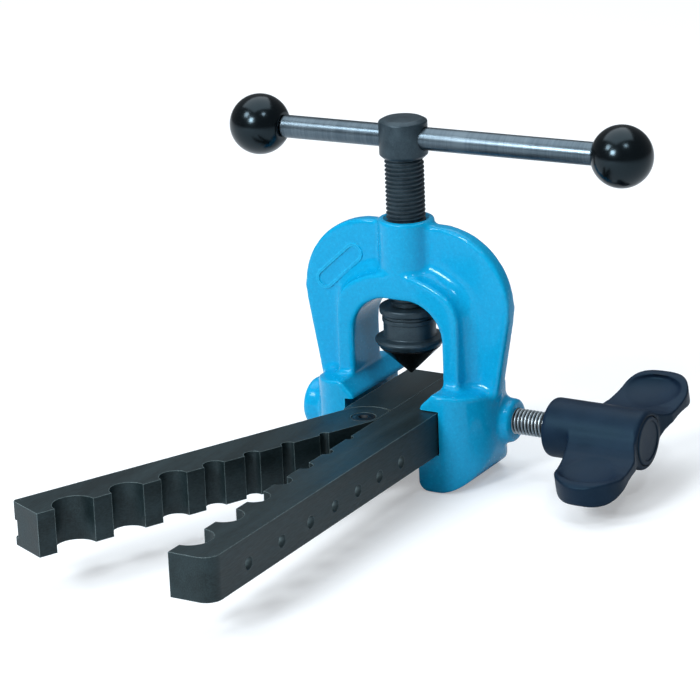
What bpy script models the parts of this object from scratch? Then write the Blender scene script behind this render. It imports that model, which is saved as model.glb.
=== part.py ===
"""Flaring tool with a screw yoke, two hinged die bars, a swivel cone and a wing clamp.

Metres, +Z up. The origin is where the spindle axis meets the plane of the bars' top
faces. +X runs out along the clamp screw, +Y to the bars' rear end. The tool is modelled
loose and open: the swing jaw stands against its stop and the bars lie against the right foot.
"""
import math

import bmesh
import bpy
from mathutils import Matrix, Vector

MM = 0.001
GAP = 0.3 * MM                      # clearance between pieces that touch
RUNNING = 0.1 * MM                  # radial clearance of a turning or sliding fit

# Die bars
JAW_WIDTH = 21.0 * MM
JAW_HEIGHT = 20.0 * MM
SPLIT_X = 5.6 * MM                  # plane between the jaws, beside the spindle while loose
BAR_FRONT_Y = -216.5 * MM
BAR_REAR_Y = 25.2 * MM
HOLE_DIAMETERS = [d * MM for d in (19.05, 15.9, 13.2, 10.3, 7.95, 6.35, 4.76)]
FIRST_HOLE_INSET = 18.2 * MM        # front end to the centre of the largest hole
HOLE_LANDS = [l * MM for l in (9.1, 9.1, 9.0, 10.8, 11.8, 14.0)]   # metal between holes
DIMPLE_DIAMETER = 5.0 * MM
DIMPLE_DEPTH = 1.6 * MM
GROOVE_HEIGHT = 8.0 * MM            # guide groove in the swing jaw's outer face
GROOVE_DEPTH = 3.0 * MM
GROOVE_TOP = 8.4 * MM               # below the top face
FRONT_CORNER_RADIUS = 7.0 * MM

# Hinge between the swing jaw and the block at the rear
PIVOT_X = -1.65 * MM
PIVOT_Y = -42.3 * MM
PIN_DIAMETER = 8.0 * MM
PIN_HEAD_DIAMETER = 11.0 * MM
PIN_HEAD_HEIGHT = 1.6 * MM
OPEN_ANGLE = math.radians(24.8)
HINGE_SHOULDER = 6.0 * MM           # pivot to the full-width front of the rear block
RIVET_DIAMETER = 6.0 * MM
RIVET_Z = -10.0 * MM
RIVET_YS = [y * MM for y in (-12.0, 14.0)]

# Yoke casting
WEB_THICKNESS = 8.0 * MM
LOBE_RADIUS = 35.0 * MM
LOBE_X = 17.3 * MM
LOBE_Z = 44.8 * MM
WEB_FOOT_HALF_WIDTH = 45.2 * MM
RIB_DEPTH = 26.0 * MM
RIB_HALF_WIDTH = 31.5 * MM
RIB_CROWN_Z = 59.0 * MM
RIB_CROWN_RADIUS = 39.0 * MM
ARCH_HALF_WIDTH = 23.0 * MM
ARCH_TOP_Z = 46.4 * MM
ARCH_CORNER = 18.0 * MM
BOSS_RADIUS = 13.0 * MM
BOSS_TOP_Z = 82.4 * MM
FOOT_DEPTH = 50.0 * MM
FOOT_TOP_Z = 6.2 * MM
FOOT_BOTTOM_Z = -39.0 * MM
FOOT_OUTER_X = 44.6 * MM
FOOT_UNDER_RADIUS = 19.5 * MM
FOOT_FRONT_X = 26.0 * MM            # where the flat front turns into the round side
UPPER_LIP_X = 17.4 * MM
LOWER_LIP_X = 15.6 * MM
LIP_EDGE = 1.4 * MM
CHANNEL_PLAY = 0.5 * MM             # bars to the channel's roof, floor and right wall

# Spindle and its swivel head
SPINDLE_DIAMETER = 18.0 * MM
HEAD_DIAMETER = 22.2 * MM
HEAD_HEIGHT = 17.0 * MM
BAR_AXIS_Z = 120.0 * MM
TIP_Z = 7.8 * MM
CONE_RADIUS = 14.2 * MM             # 45 degrees to the axis
FLANGE_RADIUS = 16.3 * MM
FLANGE_HEIGHT = 6.0 * MM
SLEEVE_RADIUS = 12.1 * MM
SLEEVE_HEIGHT = 9.4 * MM
COLLAR_RADIUS = 13.7 * MM
COLLAR_HEIGHT = 3.5 * MM
JOURNAL_DIAMETER = 13.0 * MM
THRUST_BALL_DIAMETER = 8.0 * MM
RING_SECTION = 2.0 * MM

# Tommy bar
TOMMY_DIAMETER = 10.5 * MM
BALL_DIAMETER = 28.0 * MM
BALL_NECK_DIAMETER = 13.5 * MM
BALL_SPACING = 178.9 * MM
TOMMY_OFFSET = 16.4 * MM            # how far the bar is pushed through the head
TOMMY_YAW = math.radians(3.1)
STUD_DIAMETER = 8.0 * MM
STUD_LENGTH = 11.0 * MM

# Clamp screw
CLAMP_Y = 10.0 * MM
CLAMP_Z = -11.9 * MM
CLAMP_DIAMETER = 12.0 * MM
CLAMP_TIP_X = 31.4 * MM
CLAMP_TIP_LENGTH = 4.0 * MM
CLAMP_BOSS_RADIUS = 10.2 * MM
CLAMP_BOSS_X = 49.0 * MM
HUB_START_X = 67.0 * MM
HUB_LENGTH = 48.0 * MM
HUB_RADIUS = 13.7 * MM
WING_RADIUS = 50.0 * MM
WING_LOBE = 15.5 * MM               # radius of a wing's round end, seen square on
WING_LOBE_X = 103.0 * MM            # centre of the round end
WING_THICKNESS = 11.2 * MM
WING_NECK = 5.0 * MM                # thinnest place between the hub and a tip
WING_ANGLE = math.radians(14.0)
CAP_RADIUS = 11.2 * MM
CAP_THICKNESS = 2.2 * MM
INSERT_WIDTH = 17.0 * MM            # across the flats
INSERT_LENGTH = 16.0 * MM

# Guide screw in the left foot
GUIDE_Y = 0.0
GUIDE_Z = -13.0 * MM
GUIDE_DIAMETER = 10.0 * MM
GUIDE_DOG_DIAMETER = 6.0 * MM
GUIDE_DOG_LENGTH = 2.4 * MM
GUIDE_BOSS_RADIUS = 12.0 * MM
GUIDE_BOSS_X = -53.0 * MM

# Values that follow from the sizes above
FIXED_OUTER_X = SPLIT_X + JAW_WIDTH
SWING_OUTER_X = SPLIT_X - JAW_WIDTH
RIGHT_WALL_X = FIXED_OUTER_X + CHANNEL_PLAY
LEFT_WALL_X = -JAW_WIDTH - CHANNEL_PLAY
ROOF_Z = CHANNEL_PLAY
FLOOR_Z = -JAW_HEIGHT - CHANNEL_PLAY
KNUCKLE_RADIUS = PIVOT_X - SWING_OUTER_X - GAP
SPLIT_REACH = SPLIT_X - GAP / 2 - PIVOT_X
CONE_RIM_Z = TIP_Z + CONE_RADIUS
FLANGE_TOP_Z = CONE_RIM_Z + FLANGE_HEIGHT
SLEEVE_TOP_Z = FLANGE_TOP_Z + SLEEVE_HEIGHT
COLLAR_Z = SLEEVE_TOP_Z + GAP
COLLAR_TOP_Z = COLLAR_Z + COLLAR_HEIGHT
BORE_FLOOR_Z = CONE_RIM_Z + 1.6 * MM
RING_Z = SLEEVE_TOP_Z - 2.6 * MM
JOURNAL_END_Z = BORE_FLOOR_Z + THRUST_BALL_DIAMETER - 1.6 * MM
HUB_END_X = HUB_START_X + HUB_LENGTH

SEGMENTS = 40
SMALL_SEGMENTS = 24


def clear_scene():
    """Remove every object that the file opened with."""
    for obj in list(bpy.data.objects):
        bpy.data.objects.remove(obj, do_unlink=True)


def material(name, color, roughness, metallic):
    """A plain Principled material."""
    mat = bpy.data.materials.new(name)
    mat.use_nodes = True
    shader = mat.node_tree.nodes["Principled BSDF"]
    shader.inputs["Base Color"].default_value = (*color, 1.0)
    shader.inputs["Roughness"].default_value = roughness
    shader.inputs["Metallic"].default_value = metallic
    return mat


def add_object(name, bm, mat=None):
    """Turn a bmesh into a named object with outward faces and smooth round sides."""
    bmesh.ops.recalc_face_normals(bm, faces=bm.faces)
    mesh = bpy.data.meshes.new(name)
    bm.to_mesh(mesh)
    bm.free()
    obj = bpy.data.objects.new(name, mesh)
    bpy.context.collection.objects.link(obj)
    mesh.shade_smooth()
    mesh.set_sharp_from_angle(angle=math.radians(35))
    if mat:
        mesh.materials.append(mat)
    return obj


def helper(obj):
    """Mark an object as a cutter or a part of a union, not a piece of its own."""
    obj.hide_render = True
    obj.display_type = "WIRE"
    return obj


def combine(target, other, operation):
    """Cut with, join or intersect another object."""
    helper(other)
    modifier = target.modifiers.new(f"{operation.lower()}_{other.name}", "BOOLEAN")
    modifier.operation = operation
    modifier.solver = "EXACT"
    modifier.object = other
    return target


def cut(target, *cutters):
    """Subtract each cutter in turn."""
    for cutter in cutters:
        combine(target, cutter, "DIFFERENCE")
    return target


def join(target, *others):
    """Unite each other object with the target."""
    for other in others:
        combine(target, other, "UNION")
    return target


def box(name, low, high, mat=None):
    """An axis-aligned block between two corners."""
    bm = bmesh.new()
    size = Vector(high) - Vector(low)
    middle = (Vector(high) + Vector(low)) / 2
    place = Matrix.Translation(middle) @ Matrix.Diagonal((*size, 1.0))
    bmesh.ops.create_cube(bm, size=1.0, matrix=place)
    return add_object(name, bm, mat)


def axis_matrix(axis):
    """Rotation that takes +Z to the named axis."""
    return {
        "Z": Matrix.Identity(4),
        "X": Matrix.Rotation(math.pi / 2, 4, "Y"),
        "Y": Matrix.Rotation(-math.pi / 2, 4, "X"),
    }[axis]


def lathe(name, profile, mat=None, axis="Z", origin=(0, 0, 0), segments=SEGMENTS):
    """Spin (radius, height) points about an axis through origin into a closed solid."""
    bm = bmesh.new()
    verts = [bm.verts.new((radius, 0.0, height)) for radius, height in profile]
    edges = [bm.edges.new(pair) for pair in zip(verts, verts[1:])]
    if profile[0][0] > 0.0 or profile[-1][0] > 0.0:
        edges.append(bm.edges.new((verts[-1], verts[0])))
    bmesh.ops.spin(
        bm, geom=verts + edges, cent=(0, 0, 0), axis=(0, 0, 1), angle=2 * math.pi,
        steps=segments, use_merge=True,
    )
    bmesh.ops.remove_doubles(bm, verts=bm.verts, dist=1e-7)
    bm.transform(Matrix.Translation(Vector(origin)) @ axis_matrix(axis))
    return add_object(name, bm, mat)


def rod(name, radius, start, end, mat=None, axis="Z", at=(0.0, 0.0), segments=SEGMENTS, chamfer=0.0):
    """A cylinder along an axis, from start to end, centred on the other two coordinates."""
    profile = [(0.0, start)]
    if chamfer:
        profile += [(radius - chamfer, start), (radius, start + chamfer)]
        profile += [(radius, end - chamfer), (radius - chamfer, end)]
    else:
        profile += [(radius, start), (radius, end)]
    profile.append((0.0, end))
    origin = {"Z": (*at, 0.0), "X": (0.0, *at), "Y": (at[0], 0.0, at[1])}[axis]
    return lathe(name, profile, mat, axis, origin, segments)


def prism(name, outline, axis, low, high, mat=None):
    """Extrude a closed outline along Y (outline in X, Z), Z (X, Y) or X (Y, Z)."""
    place = {
        "Y": lambda a, b, t: (a, t, b),
        "Z": lambda a, b, t: (a, b, t),
        "X": lambda a, b, t: (t, a, b),
    }[axis]
    bm = bmesh.new()
    face = bm.faces.new([bm.verts.new(place(a, b, low)) for a, b in outline])
    grown = bmesh.ops.extrude_face_region(bm, geom=[face])
    moved = [item for item in grown["geom"] if isinstance(item, bmesh.types.BMVert)]
    bmesh.ops.translate(bm, verts=moved, vec=Vector(place(0.0, 0.0, high - low)))
    return add_object(name, bm, mat)


def arc(center, radius, start, end, steps):
    """Points on an arc; angles in degrees, both ends included."""
    angles = [math.radians(start + (end - start) * i / steps) for i in range(steps + 1)]
    return [(center[0] + radius * math.cos(a), center[1] + radius * math.sin(a)) for a in angles]


def hole_centers():
    """Y of each die hole, from the front end backwards."""
    y = BAR_FRONT_Y + FIRST_HOLE_INSET
    centers = [y]
    for index, land in enumerate(HOLE_LANDS):
        y += HOLE_DIAMETERS[index] / 2 + land + HOLE_DIAMETERS[index + 1] / 2
        centers.append(y)
    return centers


def die_hole_cutters(prefix):
    """One cylinder for each die hole, on the split plane."""
    cutters = []
    for index, (y, diameter) in enumerate(zip(hole_centers(), HOLE_DIAMETERS)):
        segments = SMALL_SEGMENTS if index > 3 else 32
        cutters.append(rod(f"{prefix}_{index + 1}", diameter / 2, -JAW_HEIGHT - 2 * MM, 2 * MM,
                           axis="Z", at=(SPLIT_X, y), segments=segments))
    return cutters


def build_fixed_jaw(mats):
    """The full-length right bar: half holes inside, clamp dimples outside."""
    corner = FRONT_CORNER_RADIUS
    inner_x = SPLIT_X + GAP / 2
    outline = [(inner_x, BAR_REAR_Y), (inner_x, BAR_FRONT_Y)]
    outline += arc((FIXED_OUTER_X - corner, BAR_FRONT_Y + corner), corner, -90, 0, 8)
    outline.append((FIXED_OUTER_X, BAR_REAR_Y))
    jaw = prism("fixed_jaw", outline, "Z", -JAW_HEIGHT, 0.0, mats["die"])
    cut(jaw, *die_hole_cutters("fixed_jaw_hole"))
    tip_x = FIXED_OUTER_X - DIMPLE_DEPTH
    out_x = FIXED_OUTER_X + DIMPLE_DEPTH
    for index, y in enumerate(hole_centers()):
        cone = [(0.0, tip_x), (DIMPLE_DIAMETER, out_x), (0.0, out_x)]
        at = (0.0, y + CLAMP_Y, CLAMP_Z)
        cut(jaw, lathe(f"dimple_{index + 1}", cone, axis="X", origin=at, segments=12))
    for index, y in enumerate(RIVET_YS):
        cut(jaw, rod(f"jaw_rivet_hole_{index}", RIVET_DIAMETER / 2 + RUNNING, 0.0, FIXED_OUTER_X + MM,
                     axis="X", at=(y, RIVET_Z), segments=SMALL_SEGMENTS))
    return jaw


def knuckle_outline():
    """Rear end of the swing jaw about the pivot, from the split side to the outer side.

    Its rear inner corner is cut flat, to bear on the fixed jaw when the jaw is open.
    """
    stop_reach = SPLIT_REACH - GAP / 2
    corner_y = (stop_reach - SPLIT_REACH * math.cos(OPEN_ANGLE)) / math.sin(OPEN_ANGLE)
    arc_start = math.degrees(OPEN_ANGLE + math.acos(stop_reach / KNUCKLE_RADIUS))
    points = [(PIVOT_X + SPLIT_REACH, PIVOT_Y + corner_y)]
    return points + arc((PIVOT_X, PIVOT_Y), KNUCKLE_RADIUS, arc_start, 180, 14)


def build_swing_jaw(mats):
    """The left bar, with its upper half carried round the hinge pin; modelled closed."""
    inner_x = SPLIT_X - GAP / 2
    corner = 1.2 * MM
    outline = [*knuckle_outline(), (SWING_OUTER_X, PIVOT_Y - 2 * MM)]
    outline.append((SWING_OUTER_X, BAR_FRONT_Y + corner))
    outline += [(SWING_OUTER_X + corner, BAR_FRONT_Y), (inner_x, BAR_FRONT_Y)]
    jaw = prism("swing_jaw", outline, "Z", -JAW_HEIGHT, 0.0, mats["die"])
    cut(jaw, *die_hole_cutters("swing_jaw_hole"))
    groove_top = -GROOVE_TOP
    cut(jaw, box("swing_jaw_groove", (SWING_OUTER_X - MM, BAR_FRONT_Y - MM, groove_top - GROOVE_HEIGHT),
                 (SWING_OUTER_X + GROOVE_DEPTH, BAR_REAR_Y, groove_top)))
    pin_profile = [(0.0, -JAW_HEIGHT - MM), (PIN_DIAMETER / 2 + RUNNING, -JAW_HEIGHT - MM)]
    pin_profile += [(PIN_DIAMETER / 2 + RUNNING, -PIN_HEAD_HEIGHT - GAP)]
    pin_profile += [(PIN_HEAD_DIAMETER / 2 + 2 * RUNNING, -PIN_HEAD_HEIGHT - GAP)]
    pin_profile += [(PIN_HEAD_DIAMETER / 2 + 2 * RUNNING, MM), (0.0, MM)]
    pivot = (PIVOT_X, PIVOT_Y, 0.0)
    cut(jaw, lathe("swing_pin_hole", pin_profile, origin=pivot, segments=SMALL_SEGMENTS))
    cut(jaw, rod("lug_pocket", KNUCKLE_RADIUS + 2 * GAP, -JAW_HEIGHT - MM, -JAW_HEIGHT / 2 + GAP / 2,
                 at=(PIVOT_X, PIVOT_Y), segments=44))
    turn_about_pivot(jaw, -OPEN_ANGLE)
    return jaw


def turn_about_pivot(obj, angle):
    """Place an object modelled closed at its open angle, with its origin on the hinge axis."""
    pivot = Vector((PIVOT_X, PIVOT_Y, 0.0))
    empty = bpy.data.objects.new("swing_hinge", None)
    bpy.context.collection.objects.link(empty)
    empty.location = pivot
    empty.rotation_euler = (0.0, 0.0, angle)
    parts = [obj] + [modifier.object for modifier in obj.modifiers if modifier.type == "BOOLEAN"]
    for part in parts:
        part.parent = empty
        part.matrix_parent_inverse = Matrix.Translation(-pivot)


def build_hinge_block(mats):
    """The short left block behind the hinge, with a half-height lug under the knuckle."""
    inner_x = SPLIT_X - GAP / 2
    outer_x = SWING_OUTER_X
    front_y = PIVOT_Y + HINGE_SHOULDER
    block = box("hinge_block", (outer_x, front_y, -JAW_HEIGHT), (inner_x, BAR_REAR_Y, 0.0), mats["die"])
    cut(block, rod("knuckle_pocket", KNUCKLE_RADIUS + 2 * GAP, -JAW_HEIGHT / 2 - GAP, MM,
                   at=(PIVOT_X, PIVOT_Y), segments=48))
    lug = prism("hinge_lug", lug_outline(), "Z", -JAW_HEIGHT, -JAW_HEIGHT / 2 - GAP)
    join(block, lug)
    cut(block, rod("block_pin_hole", PIN_DIAMETER / 2 + RUNNING, -JAW_HEIGHT - MM, 0.0,
                   at=(PIVOT_X, PIVOT_Y), segments=SMALL_SEGMENTS))
    cut(block, box("block_groove", (outer_x - MM, PIVOT_Y - 20 * MM, -GROOVE_TOP - GROOVE_HEIGHT),
                   (outer_x + GROOVE_DEPTH, BAR_REAR_Y + MM, -GROOVE_TOP)))
    for index, y in enumerate(RIVET_YS):
        cut(block, rod(f"block_rivet_hole_{index}", RIVET_DIAMETER / 2 + RUNNING, outer_x - MM,
                       inner_x + MM, axis="X", at=(y, RIVET_Z), segments=SMALL_SEGMENTS))
    return block


def lug_outline():
    """Round front of the lug, running back into the block."""
    flat = math.degrees(math.acos(SPLIT_REACH / KNUCKLE_RADIUS))
    points = arc((PIVOT_X, PIVOT_Y), KNUCKLE_RADIUS, 180, 360 - flat, 16)
    rear = PIVOT_Y + HINGE_SHOULDER + 2 * MM
    return points + [(PIVOT_X + SPLIT_REACH, rear), (points[0][0], rear)]


def build_hinge_hardware(mats):
    """The hinge pin and the two rivets that hold the block to the fixed jaw."""
    pin = PIN_DIAMETER / 2
    head = PIN_HEAD_DIAMETER / 2
    profile = [(0.0, -JAW_HEIGHT + GAP), (pin - 0.5 * MM, -JAW_HEIGHT + GAP)]
    profile += [(pin, -JAW_HEIGHT + 0.8 * MM), (pin, -PIN_HEAD_HEIGHT), (head, -PIN_HEAD_HEIGHT)]
    profile += [(head, -0.6 * MM), (head - 0.6 * MM, 0.0), (pin * 0.55, 0.0)]
    profile += [(pin * 0.3, -0.9 * MM), (0.0, -0.9 * MM)]
    pivot = (PIVOT_X, PIVOT_Y, 0.0)
    lathe("hinge_pin", profile, mats["bright"], origin=pivot, segments=SMALL_SEGMENTS)
    for index, y in enumerate(RIVET_YS):
        rod(f"block_rivet_{index + 1}", RIVET_DIAMETER / 2, SWING_OUTER_X + GROOVE_DEPTH + GAP,
            FIXED_OUTER_X - GAP, mats["bright"], axis="X", at=(y, RIVET_Z), segments=SMALL_SEGMENTS)


def web_outline():
    """Outer contour of the thin web: two lobes over straight, slightly closing sides."""
    right = [(WEB_FOOT_HALF_WIDTH, FOOT_TOP_Z - 4 * MM)]
    right += arc((LOBE_X, LOBE_Z), LOBE_RADIUS, -4, 90, 14)
    left = [(-x, z) for x, z in reversed(right)]
    return right + left


def rib_outline():
    """Outer contour of the deep rib around the arch."""
    crown_centre = RIB_CROWN_Z - RIB_CROWN_RADIUS
    shoulder = math.degrees(math.asin(0.86 * RIB_HALF_WIDTH / RIB_CROWN_RADIUS))
    crown = arc((0.0, crown_centre), RIB_CROWN_RADIUS, 90 - shoulder, 90 + shoulder, 12)
    shoulder_z = crown[0][1]
    side_z = shoulder_z - 0.3 * RIB_HALF_WIDTH
    right = [(RIB_HALF_WIDTH, FOOT_TOP_Z - 3 * MM), (RIB_HALF_WIDTH, side_z)]
    right.append((RIB_HALF_WIDTH - 1.0 * MM, (side_z + shoulder_z) / 2 + 0.6 * MM))
    left = [(-x, z) for x, z in reversed(right)]
    return right + crown + left


def arch_outline():
    """The opening under the spindle, a block with rounded upper corners."""
    corner = ARCH_CORNER
    right = [(ARCH_HALF_WIDTH, FOOT_TOP_Z - 8 * MM)]
    right += arc((ARCH_HALF_WIDTH - corner, ARCH_TOP_Z - corner), corner, 0, 90, 10)
    left = [(-x, z) for x, z in reversed(right)]
    return right + left


def foot_section():
    """Front view of the right foot with its channel lips; X grows outwards."""
    under = FOOT_UNDER_RADIUS
    wall = RIGHT_WALL_X
    points = [(wall, ROOF_Z), (UPPER_LIP_X, ROOF_Z), (UPPER_LIP_X, ROOF_Z + LIP_EDGE)]
    points.append((ARCH_HALF_WIDTH + 0.2 * MM, ROOF_Z + LIP_EDGE + ARCH_HALF_WIDTH - UPPER_LIP_X))
    points.append((ARCH_HALF_WIDTH + 0.2 * MM, FOOT_TOP_Z + 2 * MM))
    points.append((FOOT_OUTER_X - 8 * MM, FOOT_TOP_Z + 0.5 * MM))
    points += arc((FOOT_OUTER_X - 6 * MM, FOOT_TOP_Z - 6 * MM), 6 * MM, 75, 0, 5)
    points += arc((FOOT_OUTER_X - under, FOOT_BOTTOM_Z + under), under, 0, -90, 8)
    points += arc((LOWER_LIP_X + 5 * MM, FOOT_BOTTOM_Z + 5 * MM), 5 * MM, -90, -180, 4)
    points += [(LOWER_LIP_X, FLOOR_Z - 1.5 * MM), (LOWER_LIP_X + 1.5 * MM, FLOOR_Z), (wall, FLOOR_Z)]
    return points


def foot_plan():
    """Plan of a foot: straight inside, a half ellipse outside."""
    half = FOOT_DEPTH / 2
    inner = LOWER_LIP_X - MM
    side = [(math.cos(a), math.sin(a)) for a in (math.radians(-90 + 180 * i / 18) for i in range(19))]
    points = [(FOOT_FRONT_X + (FOOT_OUTER_X - FOOT_FRONT_X) * c, half * s) for c, s in side]
    return [(inner, -half), *points, (inner, half)]


def build_foot(side):
    """One foot of the yoke; side is +1 for the clamp side and -1 for the other."""
    name = "right" if side > 0 else "left"
    shift = 0.0 if side > 0 else LEFT_WALL_X + RIGHT_WALL_X
    section = []
    for x, z in foot_section():
        if side < 0 and abs(x - RIGHT_WALL_X) < 1e-9:
            x -= shift
        section.append((side * x, z))
    half = FOOT_DEPTH / 2
    foot = prism(f"{name}_foot", section, "Y", -half, half)
    plan = prism(f"{name}_foot_plan", [(side * x, y) for x, y in foot_plan()], "Z",
                 FOOT_BOTTOM_Z - MM, FOOT_TOP_Z + 12 * MM)
    combine(foot, plan, "INTERSECT")
    return foot


def build_yoke(mats):
    """The casting: web, rib round the arch, spindle boss, two channel feet and two side bosses."""
    half_web = WEB_THICKNESS / 2
    half_rib = RIB_DEPTH / 2
    yoke = prism("yoke", web_outline(), "Y", -half_web, half_web, mats["enamel"])
    join(yoke, prism("yoke_rib", rib_outline(), "Y", -half_rib, half_rib))
    join(yoke, rod("yoke_boss", BOSS_RADIUS, ARCH_TOP_Z, BOSS_TOP_Z, chamfer=0.8 * MM))
    cut(yoke, prism("arch", arch_outline(), "Y", -FOOT_DEPTH, FOOT_DEPTH))
    join(yoke, build_foot(1), build_foot(-1))
    join(yoke, rod("clamp_boss", CLAMP_BOSS_RADIUS, FOOT_OUTER_X - 12 * MM, CLAMP_BOSS_X, axis="X",
                   at=(CLAMP_Y, CLAMP_Z), chamfer=1.2 * MM))
    join(yoke, rod("guide_boss", GUIDE_BOSS_RADIUS, GUIDE_BOSS_X, -FOOT_OUTER_X + 12 * MM, axis="X",
                   at=(GUIDE_Y, GUIDE_Z), chamfer=3.0 * MM))
    cut(yoke, rod("spindle_bore", SPINDLE_DIAMETER / 2 + RUNNING, ARCH_TOP_Z - 5 * MM, BOSS_TOP_Z + MM))
    cut(yoke, rod("clamp_bore", CLAMP_DIAMETER / 2 + RUNNING, RIGHT_WALL_X - MM, CLAMP_BOSS_X + MM,
                  axis="X", at=(CLAMP_Y, CLAMP_Z), segments=32))
    cut(yoke, rod("guide_bore", GUIDE_DIAMETER / 2 + RUNNING, GUIDE_BOSS_X - MM, LEFT_WALL_X + MM,
                  axis="X", at=(GUIDE_Y, GUIDE_Z), segments=32))
    return yoke


def build_guide_screw(mats):
    """Grub screw with a dog point in the left foot, for the groove in the bars."""
    outer = GUIDE_DIAMETER / 2
    dog = GUIDE_DOG_DIAMETER / 2
    tip_x = LEFT_WALL_X + GUIDE_DOG_LENGTH
    back_x = GUIDE_BOSS_X + 1.5 * MM
    profile = [(0.0, back_x), (outer - 0.8 * MM, back_x), (outer, back_x + 0.8 * MM)]
    profile += [(outer, LEFT_WALL_X - 1.5 * MM), (dog, LEFT_WALL_X - 0.5 * MM)]
    profile.append((dog, tip_x - 0.5 * MM))
    profile += [(dog - 0.5 * MM, tip_x), (0.0, tip_x)]
    origin = (0.0, GUIDE_Y, GUIDE_Z)
    screw = lathe("guide_screw", profile, mats["black_steel"], axis="X", origin=origin, segments=32)
    socket = [(GUIDE_Y + a, GUIDE_Z + b) for a, b in hexagon(5.0 * MM)]
    cut(screw, prism("guide_socket", socket, "X", back_x - MM, back_x + 5 * MM))


def hexagon(across_flats):
    """Corner points of a hexagon."""
    return arc((0.0, 0.0), across_flats / math.sqrt(3), 0, 300, 5)


def build_spindle(mats):
    """The forcing screw: cross-drilled head, threaded shank and a journal for the swivel head."""
    thread = SPINDLE_DIAMETER / 2
    journal = JOURNAL_DIAMETER / 2
    head = HEAD_DIAMETER / 2
    head_low = BAR_AXIS_Z - HEAD_HEIGHT / 2
    head_high = BAR_AXIS_Z + HEAD_HEIGHT / 2
    profile = [(0.0, JOURNAL_END_Z), (journal - 0.6 * MM, JOURNAL_END_Z)]
    profile += [(journal, JOURNAL_END_Z + 0.6 * MM), (journal, COLLAR_TOP_Z)]
    profile += [(thread - 0.5 * MM, COLLAR_TOP_Z + GAP), (thread, COLLAR_TOP_Z + 1.2 * MM)]
    profile += [(thread, head_low - 1.4 * MM), (head - 1.6 * MM, head_low - 0.7 * MM)]
    profile += [(head, head_low + 0.8 * MM), (head, head_high - 1.2 * MM)]
    profile += [(head - 0.5 * MM, head_high - 0.4 * MM), (head - 3.0 * MM, head_high + 0.4 * MM)]
    profile.append((0.0, head_high + 1.0 * MM))
    spindle = lathe("spindle", profile, mats["phosphate"])
    hole = rod("tommy_hole", TOMMY_DIAMETER / 2 + 2 * RUNNING, -20 * MM, 20 * MM, axis="X", segments=32)
    hole.rotation_euler = (0.0, 0.0, TOMMY_YAW)
    hole.location = (0.0, 0.0, BAR_AXIS_Z)
    cut(spindle, hole)


def ring_profile(inner, outer, low, high):
    """Rectangle section for a washer or a sleeve."""
    return [(inner, low), (outer, low), (outer, high), (inner, high)]


def build_swivel_head(mats):
    """Thrust collar on the spindle, ball, cone holder, retaining ring and the flaring cone."""
    journal = JOURNAL_DIAMETER / 2
    bevel = 0.6 * MM
    top = COLLAR_TOP_Z - GAP
    collar = [(journal + RUNNING, COLLAR_Z), (COLLAR_RADIUS - bevel, COLLAR_Z)]
    collar += [(COLLAR_RADIUS, COLLAR_Z + bevel), (COLLAR_RADIUS, top - bevel)]
    collar += [(COLLAR_RADIUS - bevel, top), (journal + RUNNING, top)]
    lathe("thrust_collar", collar, mats["phosphate"])
    ball = THRUST_BALL_DIAMETER / 2
    ball_z = BORE_FLOOR_Z + ball - 0.8 * MM
    bm = bmesh.new()
    bmesh.ops.create_uvsphere(bm, u_segments=16, v_segments=10, radius=ball - 0.8 * MM - GAP)
    bm.transform(Matrix.Translation((0, 0, ball_z)))
    add_object("thrust_ball", bm, mats["bright"])
    bore = journal + RUNNING
    groove = SLEEVE_RADIUS - 1.0 * MM
    low = RING_Z - RING_SECTION / 2 - RUNNING
    high = RING_Z + RING_SECTION / 2 + RUNNING
    seat = CONE_RIM_Z + GAP
    profile = [(0.0, seat), (CONE_RADIUS + 0.3 * MM, seat)]
    profile.append((FLANGE_RADIUS - 0.7 * MM, seat + 1.0 * MM))
    profile += [(FLANGE_RADIUS, seat + 2.4 * MM), (FLANGE_RADIUS - 0.3 * MM, seat + 3.8 * MM)]
    profile.append((FLANGE_RADIUS - 1.8 * MM, FLANGE_TOP_Z - 0.4 * MM))
    profile.append((SLEEVE_RADIUS + 0.8 * MM, FLANGE_TOP_Z))
    profile += [(SLEEVE_RADIUS, FLANGE_TOP_Z + 0.8 * MM), (SLEEVE_RADIUS, low)]
    profile += [(groove, low), (groove, high), (SLEEVE_RADIUS, high)]
    profile.append((SLEEVE_RADIUS, SLEEVE_TOP_Z - 0.5 * MM))
    profile.append((SLEEVE_RADIUS - 0.5 * MM, SLEEVE_TOP_Z))
    profile += [(bore, SLEEVE_TOP_Z), (bore, BORE_FLOOR_Z), (0.0, BORE_FLOOR_Z)]
    lathe("cone_holder", profile, mats["phosphate"])
    ring = ring_profile(groove + RUNNING, SLEEVE_RADIUS + 0.5 * MM, low + RUNNING, high - RUNNING)
    lathe("retaining_ring", ring, mats["phosphate"])
    cone = [(0.0, TIP_Z), (0.5 * MM, TIP_Z + 0.25 * MM), (CONE_RADIUS, CONE_RIM_Z - 0.4 * MM)]
    cone += [(CONE_RADIUS, CONE_RIM_Z), (0.0, CONE_RIM_Z)]
    lathe("flaring_cone", cone, mats["cone"], segments=48)


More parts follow.
